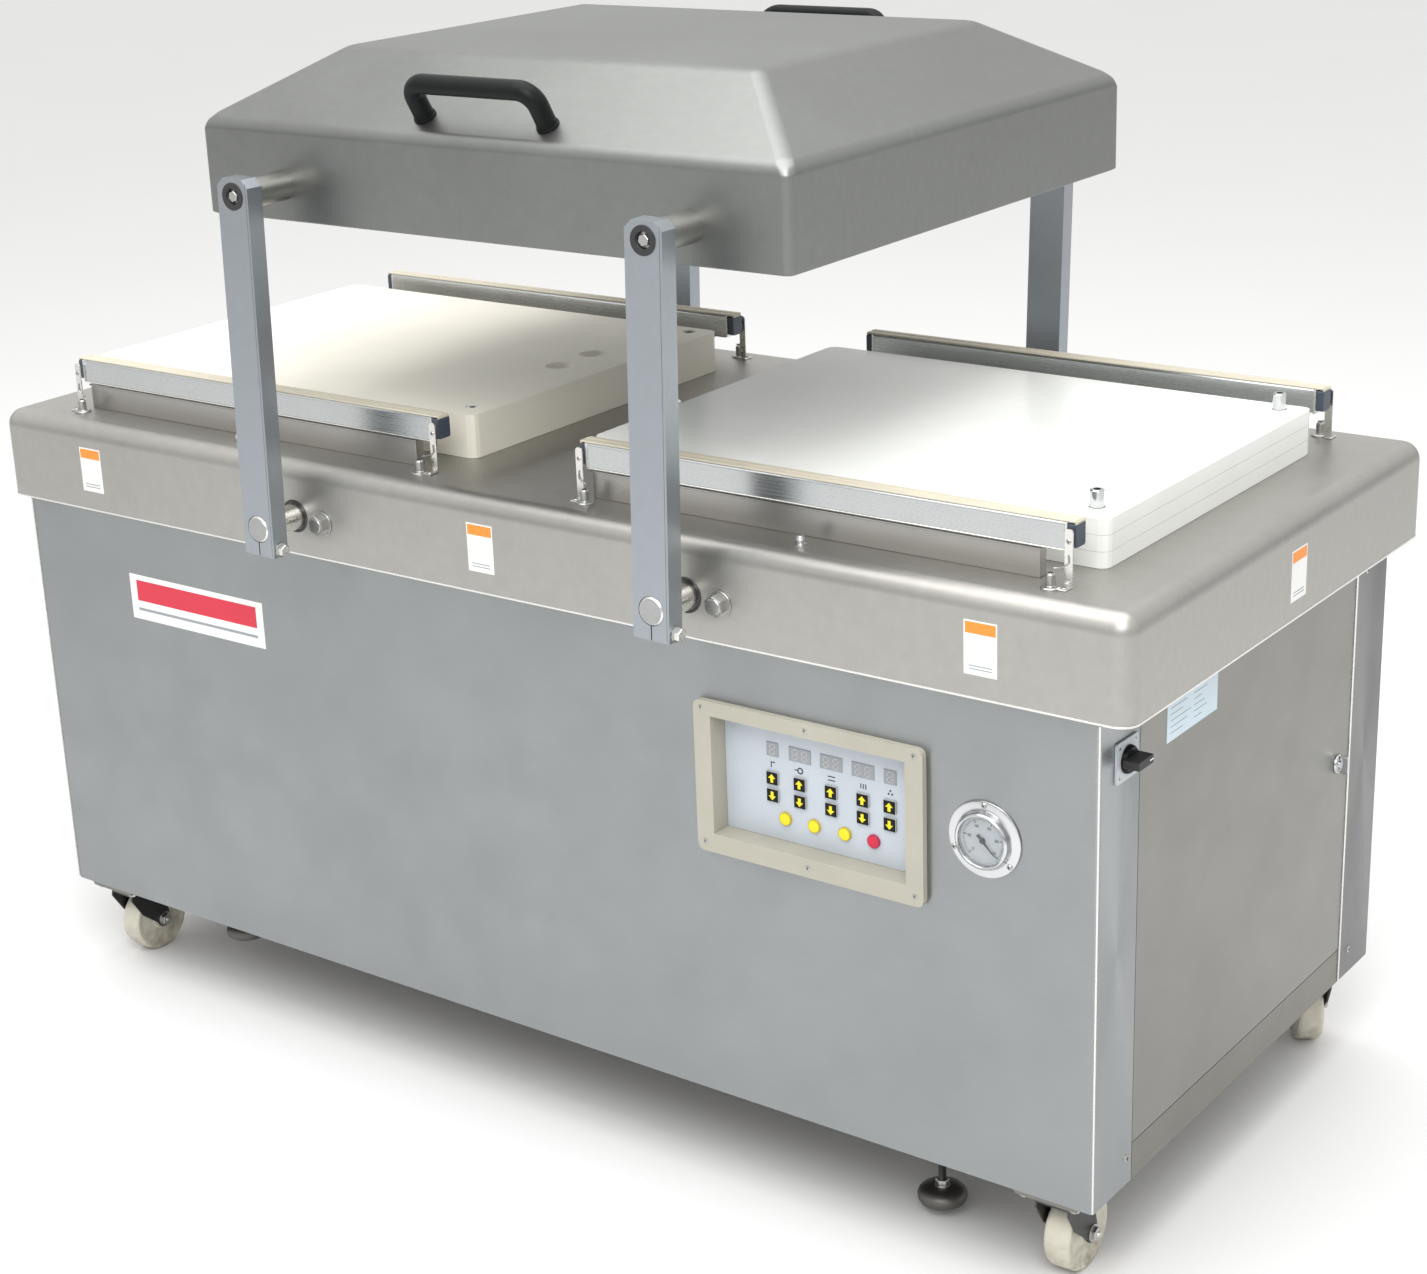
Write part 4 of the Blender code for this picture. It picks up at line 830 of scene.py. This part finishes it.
def build_gauge():
    at = GAUGE
    bezel = [(0.0292, -0.0045), (0.0292, -0.0108), (0.0300, -0.0120), (0.0312, -0.0125), (0.0326, -0.0118), (0.0338, -0.0100), (0.0350, -0.0060),
             (0.0362, -0.0040), (0.0385, -0.0034), (0.0440, -0.0030), (0.0458, -0.0024), (0.0465, -0.0014), (0.0465, -0.0004), (0.0292, -0.0004)]
    parts = [(lathe(bezel, at, Y, 72), CHROME)]
    parts.append((lathe([(0, 0.0340), (0.0300, 0.0340), (0.0310, 0.0330), (0.0310, 0.0004), (0, 0.0004)], at, Y, 48), DARK_STEEL))
    parts.append((lathe([(0, -0.0046), (0.0293, -0.0046), (0.0293, -0.0030), (0, -0.0030)], at, Y, 48), DIAL))
    for angle in (90, 203, 322):
        a = math.radians(angle)
        parts += cross_screw(at + Vector((0.0415 * math.cos(a), -0.0030, 0.0415 * math.sin(a))), -Y, 0.0036, 0.0024, angle)
    piece("gauge_case", "base", parts, ["gauge_body"])
    parts = []
    y = at.y - 0.0049
    for index in range(51):
        angle = math.radians(-135 + 270 * index / 50)
        long = 0.0046 if index % 10 == 0 else 0.0032 if index % 5 == 0 else 0.0020
        wide = 0.0005 if index % 10 == 0 else 0.0002
        tick = block((-wide, 0, 0.0262 - long), (wide, 0.0003, 0.0262))
        tick.transform(Matrix.Translation((at.x, y, at.z)) @ Matrix.Rotation(angle, 4, "Y"))
        parts.append((tick, PRINT))
    piece("gauge_scale", "base", parts)
    for index, number in enumerate(("0", "20", "40", "60", "80", "100")):
        angle = math.radians(-135 + 54 * index)
        text = bpy.data.curves.new(f"number_{number}", "FONT")
        text.body = number
        text.size = 0.0052
        text.align_x = "CENTER"
        text.align_y = "CENTER"
        text.extrude = 0.0001
        label = bpy.data.objects.new(f"gauge_number_{number}", text)
        label.location = (at.x + 0.0178 * math.sin(angle), y, at.z + 0.0178 * math.cos(angle))
        label.rotation_euler = (math.pi / 2, 0, 0)
        text.materials.append(PRINT)
        bpy.context.scene.collection.objects.link(label)
        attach(label, "base")
    disc = lathe([(0, -0.0100), (0.0290, -0.0100), (0.0290, -0.0088), (0, -0.0088)], at, Y, 48)
    piece("gauge_window", "base", [(disc, GLASS)])
    turn = Matrix.Translation(at) @ Matrix.Rotation(math.radians(135), 4, "Y")
    pointer = prism([(-0.0018, -0.0090), (0.0018, -0.0090), (0.0015, 0.0), (0.0004, 0.0222), (-0.0004, 0.0222), (-0.0015, 0.0)], 1, -0.0070, -0.0066)
    pointer.transform(turn)
    hub = lathe([(0, -0.0079), (0.0030, -0.0079), (0.0034, -0.0074), (0.0034, -0.0050), (0, -0.0050)], at, Y, 28)
    piece("gauge_pointer", "gauge_needle", [(pointer, PRINT), (hub, PRINT)], ["gauge_needle"])


def build_switch_and_latch():
    plate = block(SWITCH + Vector((0.0004, -0.025, -0.024)), SWITCH + Vector((0.003, 0.025, 0.024)), 0.0030, 4, 0)
    parts = [(plate, SWITCH_GREY)]
    parts.append((rod(SWITCH - X * 0.050, SWITCH + X * 0.0004, 0.0145, 32), BLACK_MATT))
    for b in (-0.0185, 0.0185):
        parts += cross_screw(SWITCH + Vector((0.0028, b, 0.0180)), X, 0.0026, 0.0006)
        parts += cross_screw(SWITCH + Vector((0.0028, b, -0.0180)), X, 0.0026, 0.0006)
    piece("switch_plate_built", "base", parts, ["switch_plate"])
    disc = lathe([(0, 0.0034), (0.0165, 0.0034), (0.0165, 0.0050), (0.0158, 0.0075), (0.0145, 0.0090), (0, 0.0090)], SWITCH, X, 48)
    outline = [(-0.0175, -0.0040), (-0.0160, -0.0053), (0.0155, -0.0055), (0.0172, -0.0045), (0.0172, 0.0045), (0.0155, 0.0055), (-0.0160, 0.0053), (-0.0175, 0.0040)]
    outline = [(SWITCH.y + a, SWITCH.z + b) for a, b in outline]
    grip = prism(outline, 0, SWITCH.x + 0.0060, SWITCH.x + 0.0258, 0.0012, 2)
    mark = block(SWITCH + Vector((0.0256, 0.0080, -0.0008)), SWITCH + Vector((0.0260, 0.0160, 0.0008)))
    piece("switch_grip", "switch_knob", [(disc, BLACK), (grip, BLACK_MATT), (mark, LABEL_WHITE)], ["switch_knob"])
    profile = [(0, -0.011), (0.0096, -0.011), (0.0096, 0.0004), (0.0130, 0.0004), (0.0130, 0.0014), (0.0120, 0.0030), (0.0070, 0.0036), (0.0065, 0.0060), (0, 0.0060)]
    outline = [(-0.0028, -0.010), (0, -0.013), (0.0028, -0.010), (0.0020, 0.0), (0.0028, 0.010), (0, 0.013), (-0.0028, 0.010), (-0.0020, 0.0)]
    wing = prism([(LATCH.y + a, LATCH.z + b) for a, b in outline], 0, LATCH.x + 0.004, LATCH.x + 0.015, 0.0006, 2)
    piece("door_latch_wing", "door_latch", [(lathe(profile, LATCH, X, 40), CHROME), (wing, CHROME)], ["door_latch"])


# ---------------------------------------------------------------- cabinet

def front_label(name, x, y, z, wide, tall, parts):
    """A plain sticker on a face that looks to -Y."""
    made = []
    for (a, b, c, d), material, proud in parts:
        low = (x - wide / 2 + a * wide, y - 0.0002 - proud, z - tall / 2 + b * tall)
        high = (x - wide / 2 + c * wide, y + 0.0002, z - tall / 2 + d * tall)
        made.append((block(low, high), material))
    piece(name, "base", made)


def build_labels():
    sticker = [((0, 0, 1, 1), LABEL_WHITE, 0.0), ((0.04, 0.76, 0.96, 0.97), LABEL_ORANGE, 0.0001)]
    sticker += [((0.15, 0.16, 0.85, 0.18), LABEL_LINE, 0.0001), ((0.15, 0.10, 0.85, 0.12), LABEL_LINE, 0.0001)]
    for name, x in (("left", -0.716), ("middle", 0.002), ("right", 0.718)):
        front_label(f"deck_sticker_{name}", x, -0.3997, 0.7925, 0.042, 0.063, sticker)
    brand = [((0, 0, 1, 1), LABEL_WHITE, 0.0), ((0.05, 0.42, 0.95, 0.88), LABEL_RED, 0.0001), ((0.05, 0.20, 0.95, 0.26), LABEL_LINE, 0.0001)]
    front_label("front_plate", -0.5365, PANEL_Y - 0.0001, 0.615, 0.263, 0.066, brand)
    parts = []
    for (a, b, c, d), material, proud in sticker:
        low = (0.8994, -0.001 + a * 0.042, 0.757 + b * 0.063)
        parts.append((block(low, (0.89985 + proud, -0.001 + c * 0.042, 0.757 + d * 0.063)), material))
    piece("deck_sticker_side", "base", parts)
    parts = [(block((SIDE_X - 0.0002, -0.237, 0.655), (SIDE_X + 0.0003, -0.110, 0.728)), LABEL_BLUE)]
    for row in range(8):
        z = 0.664 + 0.0075 * row
        parts.append((block((SIDE_X, -0.228, z), (SIDE_X + 0.0004, -0.228 + 0.03 + 0.01 * (row % 3), z + 0.0010)), LABEL_LINE))
        parts.append((block((SIDE_X, -0.170, z), (SIDE_X + 0.0004, -0.150 + 0.006 * ((row * 2) % 3), z + 0.0010)), LABEL_LINE))
    piece("rating_plate", "side_door", parts)


def build_cabinet():
    dress("front_panel", FRONT_STEEL, 0.0011)
    dress("rear_panel", REAR_STEEL, 0.0011)
    dress("left_side_panel", SIDE_STEEL, 0.0010)
    dress("side_door", SIDE_STEEL, 0.0012)
    dress("base_pan", PAN_STEEL)
    dress("cable_gland", BLACK_MATT)
    dress("vacuum_pump", PUMP_PAINT, 0.006, 3)
    parts = []
    for z in (0.165, 0.700):
        for y in (-0.315, 0.320):
            for x in (-SIDE_X, SIDE_X):
                if (x, y, z) != (SIDE_X, -0.315, 0.700):
                    parts += cross_screw((x, y, z), (x, 0, 0), 0.0048, 0.0020, z * 9)
    for x in (-0.82, -0.41, 0.0, 0.41, 0.82):
        for z in (0.160, 0.718):
            parts += cross_screw((x, 0.388, z), Y, 0.0048, 0.0020, x * 5)
    piece("cabinet_screws", "base", parts)
    # Thin bright steel rods down the panel folds and the door seam: painted highlights of the fold edges.
    parts = []
    for x in (-SIDE_X, SIDE_X):
        out = 0.0006 if x > 0 else -0.0006
        parts.append((rod((x + out, 0.2884, 0.1320), (x + out, 0.2884, 0.7300), 0.0016, 12), EDGE_STEEL))
        parts.append((rod((x - out, -0.3942, 0.1320), (x - out, -0.3942, 0.7300), 0.0012, 12), EDGE_STEEL))
    piece("panel_fold_highlights", "base", parts)
    build_inside()


# ---------------------------------------------------------------- inside

def hose(points, radius=0.009, material=None):
    return tube(smooth_path(points, 7), radius, 16), material or HOSE


def build_pump():
    """What a bought pump shows: motor fins, fan cover, oil glass, plugs and a name-less plate."""
    parts = []
    for index in range(24):
        angle = 2 * math.pi * index / 24
        out = Vector((0, math.cos(angle), math.sin(angle)))
        if out.z < -0.75:
            continue
        turn = Matrix.Translation((0, 0.01, 0.290)) @ Matrix.Rotation(-angle + math.pi / 2, 4, "X")
        parts.append((block((-0.085, -0.0015, 0.090), (0.125, 0.0015, 0.106), 0.0006, 1, turn=turn), MOTOR_GREY))
    cover = [(0, 0.205), (0.060, 0.205), (0.092, 0.200), (0.102, 0.190), (0.104, 0.140), (0.098, 0.138), (0, 0.138)]
    parts.append((lathe(cover, (0, 0.01, 0.290), X, 48), MOTOR_GREY))
    for radius in (0.020, 0.036, 0.052, 0.068):
        parts.append((ring((0.2048, 0.01, 0.290), X, radius, radius + 0.006, 0.0012), BLACK_MATT))
    for z in (0.205, 0.235):
        parts.append((lathe([(0, 0), (0.016, 0), (0.016, 0.004), (0.012, 0.006), (0, 0.006)], (-0.330, -0.1290, z), -Y, 32), BRASS))
    parts.append((lathe([(0, 0), (0.011, 0), (0.011, 0.0072), (0, 0.0072)], (-0.330, -0.1290, 0.235), -Y, 32), AMBER))
    for x in (-0.375, -0.125):
        for z in (0.185, 0.390):
            parts.append((hexagon((x, -0.1300, z), -Y, 0.014, 0.007), ZINC))
    for rib in range(7):
        x = -0.265 + rib * 0.020
        parts.append((block((x - 0.002, -0.1380, 0.270), (x + 0.002, -0.1285, 0.385), 0.0010, 1), PUMP_PAINT))
    parts.append((block((0.002, -0.028, 0.4245), (0.108, 0.048, 0.4290), 0.002), MOTOR_GREY))
    for x, y in ((0.010, -0.020), (0.100, -0.020), (0.010, 0.040), (0.100, 0.040)):
        parts += cross_screw((x, y, 0.4290), Z, 0.0030)
    parts.append((lathe([(0, 0), (0.026, 0), (0.030, 0.004), (0.030, 0.050), (0.024, 0.058), (0, 0.058)], (-0.20, 0.01, 0.4350), Z, 40), BLACK_MATT))
    parts.append((ring((-0.33, 0.01, 0.4400), Z, 0.0300, 0.0345, 0.012), ZINC))
    piece("pump_details", "base", parts)


def build_electrics():
    """The control box, transformer, valve block and their wiring, on the right."""
    parts = [(block((0.330, -0.300, 0.3600), (0.345, 0.020, 0.6400), 0.002), ZINC)]
    parts.append((block((0.346, -0.280, 0.3900), (0.3485, 0.000, 0.6200), 0.001), BOARD_GREEN))
    for row in range(3):
        for column in range(3):
            y, z = -0.250 + column * 0.085, 0.420 + row * 0.070
            parts.append((block((0.3485, y, z), (0.3700, y + 0.045, z + 0.032), 0.0015), BLACK_MATT if (row + column) % 2 else SWITCH_GREY))
    for row in range(9):
        parts.append((block((0.3485, -0.268 + row * 0.022, 0.394), (0.3600, -0.250 + row * 0.022, 0.412), 0.001), YELLOW if row % 4 == 0 else SWITCH_GREY))
    for y in (0.110, 0.240):
        parts.append((block((0.480, y, 0.1350), (0.600, y + 0.090, 0.1400), 0.001), ZINC))
        parts.append((block((0.490, y + 0.005, 0.1400), (0.590, y + 0.085, 0.2300), 0.003), DARK_STEEL))
        parts.append((block((0.505, y - 0.012, 0.1600), (0.575, y + 0.102, 0.2100), 0.010, 4), COPPER))
    parts.append((block((-0.060, 0.120, 0.6300), (0.180, 0.170, 0.6800), 0.003), BAR_ALUMINIUM))
    for x in (-0.030, 0.030, 0.090, 0.150):
        parts.append((lathe([(0, 0), (0.015, 0), (0.015, 0.046), (0.012, 0.050), (0, 0.050)], (x, 0.145, 0.6800), Z, 32), BLACK_MATT))
        parts.append((rod((x, 0.120, 0.655), (x, 0.102, 0.655), 0.008, 20), BRASS))
    piece("electric_parts", "base", parts)
    wires = []
    for index, material in enumerate((WIRE_RED, WIRE_BLUE, BLACK_MATT, YELLOW, WIRE_RED, BLACK_MATT)):
        y = -0.262 + index * 0.030
        path = [(0.362, y, 0.398), (0.385, y + 0.004, 0.370), (0.430, y + 0.060, 0.250), (0.500, 0.100 + index * 0.010, 0.180), (0.520, 0.112 + index * 0.008, 0.190)]
        wires.append(hose(path, 0.0022, material))
    for index, material in enumerate((BLACK_MATT, WIRE_BLUE, WIRE_RED)):
        path = [(0.812, -0.336, 0.660 - index * 0.008), (0.700, -0.300, 0.640), (0.500, -0.250, 0.652 - index * 0.006), (0.372, -0.230 + index * 0.02, 0.600)]
        wires.append(hose(path, 0.0024, material))
    piece("wiring", "base", wires)


def build_inside():
    build_pump()
    build_electrics()
    hoses = [hose([(-0.33, 0.01, 0.452), (-0.33, 0.02, 0.520), (-0.25, 0.06, 0.600), (-0.10, 0.09, 0.655), (-0.032, 0.100, 0.655)], 0.017)]
    for x, (ex, ey) in zip((0.030, 0.090, 0.150), ((0.0, 0.02), (0.455, -0.30), (0.455, 0.30))):
        hoses.append(hose([(x, 0.100, 0.655), (x + 0.02, 0.060, 0.660), ((x + ex) / 2, (0.04 + ey) / 2, 0.700), (ex, ey, 0.735), (ex, ey, 0.800)], 0.008))
    piece("vacuum_hoses", "base", hoses)
    parts = []
    for _, side in SIDES:
        for _, end in ENDS:
            for step in (-0.22, 0.22):
                at = (side * CHAMBER_X + step, end * 0.3195, 0)
                bellows = [(0, 0.792), (0.013, 0.792)]
                for fold in range(6):
                    bellows += [(0.013, 0.796 + fold * 0.009), (0.0105, 0.8005 + fold * 0.009)]
                bellows += [(0.013, 0.8515), (0, 0.8515)]
                parts.append((lathe(bellows, at, Z, 28), RUBBER))
                parts.append((lathe([(0, 0.784), (0.016, 0.784), (0.016, 0.792), (0, 0.792)], at, Z, 28), ZINC))
    piece("lift_bellows", "base", parts)
    parts = []
    for _, end in ENDS:
        coil = []
        for step in range(16 * 22 + 1):
            a = 2 * math.pi * step / 16
            coil.append((-0.235 + 0.470 * step / 352, end * 0.225 + 0.017 * math.cos(a), 0.768 + 0.017 * math.sin(a)))
        parts.append((tube(coil, 0.0028, 8), DARK_STEEL))
        for side in (-1, 1):
            hook = [(side * 0.235, end * 0.225, 0.785), (side * 0.262, end * 0.225, 0.778), (side * 0.292, end * 0.225, 0.768)]
            parts.append((tube(smooth_path(hook, 5), 0.0030, 8), DARK_STEEL))
            parts.append((ring((side * PIVOT_X - side * 0.006, end * 0.225 - 0.010, PIVOT_Z), Y, 0.0182, 0.0330, 0.020), ZINC))
    piece("counterbalance_springs", "base", parts)


# ---------------------------------------------------------------- running gear

def build_caster(x, y, name):
    """A swivel fork, its wheel and the bolts of its plate, turned as it stands at rest."""
    place = Matrix.Translation((x, y, 0)) @ Matrix.Rotation(CASTER_TURN.get(name, 0), 4, "Z")
    axle = Vector((0, CASTER_TRAIL, 0.050))
    race = [(0, 0.1075), (0.0200, 0.1075), (0.0235, 0.1095), (0.0285, 0.1120), (0.0290, 0.1150), (0.0275, 0.1180), (0.0250, 0.1198), (0, 0.1198)]
    fork = [(lathe(race, (0, 0, 0), Z, 48), DARK_STEEL)]
    for side in (-1, 1):
        a, b = sorted((side * 0.0200, side * 0.0230))
        lobe = [(axle.y + p, axle.z + q) for p, q in arc((0, 0), 0.013, 195, 360, 12)]
        outline = lobe + [(0.0370, 0.090), (0.0330, 0.105), (0.0270, 0.1110), (-0.0230, 0.1110), (-0.0250, 0.100), (-0.006, 0.070)]
        fork.append((prism(outline, 0, a, b, 0.0007, 2), DARK_STEEL))
        start, out = Vector((side * 0.0232, axle.y, axle.z)), X * side
        fork.append((ring(start, out, 0.004, 0.0110, 0.0012), ZINC))
        fork.append((hexagon(start + out * 0.0012, out, 0.0160, 0.0060, 0.4), ZINC))
        fork.append((lathe([(0, 0), (0.0040, 0), (0.0034, 0.0016), (0, 0.0018)], start + out * 0.0072, out, 20), EDGE_STEEL))
    fork.append((block((-0.0232, -0.0240, 0.1052), (0.0232, 0.0275, 0.1120), 0.0025, 3), DARK_STEEL))
    fork.append((rod(axle - X * 0.0232, axle + X * 0.0232, 0.0056, 24), ZINC))
    half = [(0.0068, 0.0180), (0.0150, 0.0180), (0.0165, 0.0172), (0.0172, 0.0160), (0.0330, 0.0138), (0.0400, 0.0155), (0.0440, 0.0172), (0.0470, 0.0168), (0.0492, 0.0145), (0.0500, 0.0110)]
    tread = [(r, -z) for r, z in half] + half[::-1]
    wheel = [(lathe(tread, axle, X, 72), NYLON)]
    wheel.append((lathe([(0.0062, -0.0182), (0.0085, -0.0182), (0.0085, 0.0182), (0.0062, 0.0182)], axle, X, 32), ZINC))
    for shape, _ in fork + wheel:
        shape.transform(place)
    piece(f"caster_fork_built_{name}", f"caster_fork_{name}", fork, [f"caster_fork_{name}"])
    piece(f"caster_wheel_built_{name}", f"caster_wheel_{name}", wheel, [f"caster_wheel_{name}"])
    bolts = []
    for a in (x - 0.033, x + 0.033):
        for b in (max(y - 0.030, -0.379), y + 0.031):
            bolts.append((hexagon((a, b, 0.1205), -Z, 0.0110, 0.0050, 0.2), ZINC))
            bolts.append((hexagon((a, b, 0.1342), Z, 0.0125, 0.0060, 0.7), ZINC))
    piece(f"caster_bolts_{name}", "base", bolts)


def build_foot(x, y, rest, name):
    pad = [(0, 0), (0.0262, 0), (0.0288, 0.0010), (0.0304, 0.0038), (0.0310, 0.0085), (0.0300, 0.0125), (0.0270, 0.0162),
           (0.0215, 0.0190), (0.0150, 0.0203), (0.0120, 0.0206), (0, 0.0206)]
    parts = [(lathe(pad, (x, y, rest), Z, 64), FOOT_METAL)]
    parts.append((ring((x, y, rest + 0.0204), Z, 0.004, 0.0098, 0.0012), ZINC))
    parts.append((hexagon((x, y, rest + 0.0212), Z, 0.0150, 0.0078, 0.5), ZINC))
    thread = [(0, 0.0270)]
    z = 0.0270
    while z < 0.1585:
        thread += [(0.0045, z), (0.0050, z + 0.00075)]
        z += 0.0015
    thread += [(0.0042, 0.1600), (0, 0.1600)]
    parts.append((lathe(thread, (x, y, rest), Z, 20), DARK_STEEL))
    piece(f"levelling_foot_built_{name}", f"levelling_foot_{name}", parts, [f"levelling_foot_{name}"])
    lock = [(hexagon((x, y, 0.1298), -Z, 0.0170, 0.0065, 0.1), ZINC)]
    piece(f"foot_lock_nut_{name}", "base", lock)


def build_running_gear():
    for side_name, side in SIDES:
        for end_name, end in ENDS:
            name = f"{end_name}_{side_name}"
            x, y = CASTER_SITE[end_name]
            build_caster(side * x, y, name)
            build_foot(side * 0.605, end * 0.300, FOOT_REST[name], name)


# ---------------------------------------------------------------- studio

def shaft_steel():
    """Dark turned steel whose ends show scratches from the middle outwards."""
    g = Graph("shaft_steel", (0.42, 0.42, 0.42), 0.22, 1.0)
    marks = g.noise(90.0, 4.0, (1, 0.2, 1))
    g.put("Base Color", g.shade(marks, 0.75, 1.15))
    g.put("Roughness", g.spread(marks, 0.16, 0.34))
    g.bump(g.noise(800.0, 2.0, (1, 0.05, 1)), 0.12, 0.0002)
    return g.material


def area(name, place, target, size, power, colour=(1, 1, 1), tall=None):
    """A rectangular soft light that looks at a point."""
    data = bpy.data.lights.new(name, "AREA")
    data.shape = "RECTANGLE"
    data.size = size
    data.size_y = tall or size
    data.energy = power
    data.color = colour
    light = bpy.data.objects.new(name, data)
    light.location = place
    light.rotation_euler = (Vector(target) - Vector(place)).to_track_quat("-Z", "Y").to_euler()
    bpy.context.scene.collection.objects.link(light)


def build_studio():
    floor = Graph("pale_floor", (0.80, 0.80, 0.80), 0.85)
    floor.put("Base Color", floor.shade(floor.noise(1.5, 2.0), 0.985, 1.01))
    mesh = bpy.data.meshes.new("floor")
    mesh.from_pydata([(-40, -40, 0), (40, -40, 0), (40, 40, 0), (-40, 40, 0)], [], [(0, 1, 2, 3)])
    mesh.materials.append(floor.material)
    ground = bpy.data.objects.new("floor", mesh)
    bpy.context.scene.collection.objects.link(ground)
    build_world()
    area("key", (1.9, -3.0, 3.8), (0, 0, 0.8), 2.2, 92)
    area("top", (0.0, -0.4, 4.3), (0, 0, 0.8), 4.0, 135)


def build_world():
    """A white room, greyer near the floor."""
    world = bpy.data.worlds.new("studio")
    bpy.context.scene.world = world
    world.use_nodes = True
    tree = world.node_tree
    link, make = tree.links.new, tree.nodes.new
    way = make("ShaderNodeTexCoord").outputs["Generated"]
    split = make("ShaderNodeSeparateXYZ")
    link(way, split.inputs[0])
    height = make("ShaderNodeValToRGB")
    height.color_ramp.elements[0].position = 0.06
    height.color_ramp.elements[0].color = (0.46, 0.475, 0.48, 1)
    height.color_ramp.elements[1].position = 0.34
    height.color_ramp.elements[1].color = (1.0, 0.995, 0.985, 1)
    link(split.outputs["Z"], height.inputs[0])
    link(height.outputs[0], tree.nodes["Background"].inputs[0])
    tree.nodes["Background"].inputs[1].default_value = 1.0


def build_camera():
    bpy.context.scene.view_settings.view_transform = "Standard"
    data = bpy.data.cameras.new("camera")
    camera = bpy.data.objects.new("camera", data)
    bpy.context.scene.collection.objects.link(camera)
    bpy.context.scene.camera = camera
    ahead = Vector((-math.sin(YAW) * math.cos(PITCH), math.cos(YAW) * math.cos(PITCH), -math.sin(PITCH)))
    flat = Vector((math.cos(YAW), math.sin(YAW), 0))
    over = flat.cross(ahead)
    right = math.cos(ROLL) * flat + math.sin(ROLL) * over
    up = -math.sin(ROLL) * flat + math.cos(ROLL) * over
    turn = Matrix((right, up, -ahead)).transposed().to_4x4()
    camera.matrix_world = Matrix.Translation(EYE) @ turn
    data.sensor_width = 36.0
    data.lens = 36.0 * FOCAL_PIXELS / IMAGE[0]
    data.shift_x = (IMAGE[0] / 2 - CENTRE_PIXEL[0]) / IMAGE[0]
    data.shift_y = (CENTRE_PIXEL[1] - IMAGE[1] / 2) / IMAGE[0]
    data.clip_end = 60


SHAFT_STEEL = shaft_steel()
build_lid()
build_handles()
build_linkage()
build_deck()
build_boards()
build_seal_bars()
build_brackets()
build_housing()
build_keys()
build_gauge()
build_switch_and_latch()
build_labels()
build_cabinet()
build_running_gear()
build_studio()
build_camera()

bpy.context.view_layer.update()
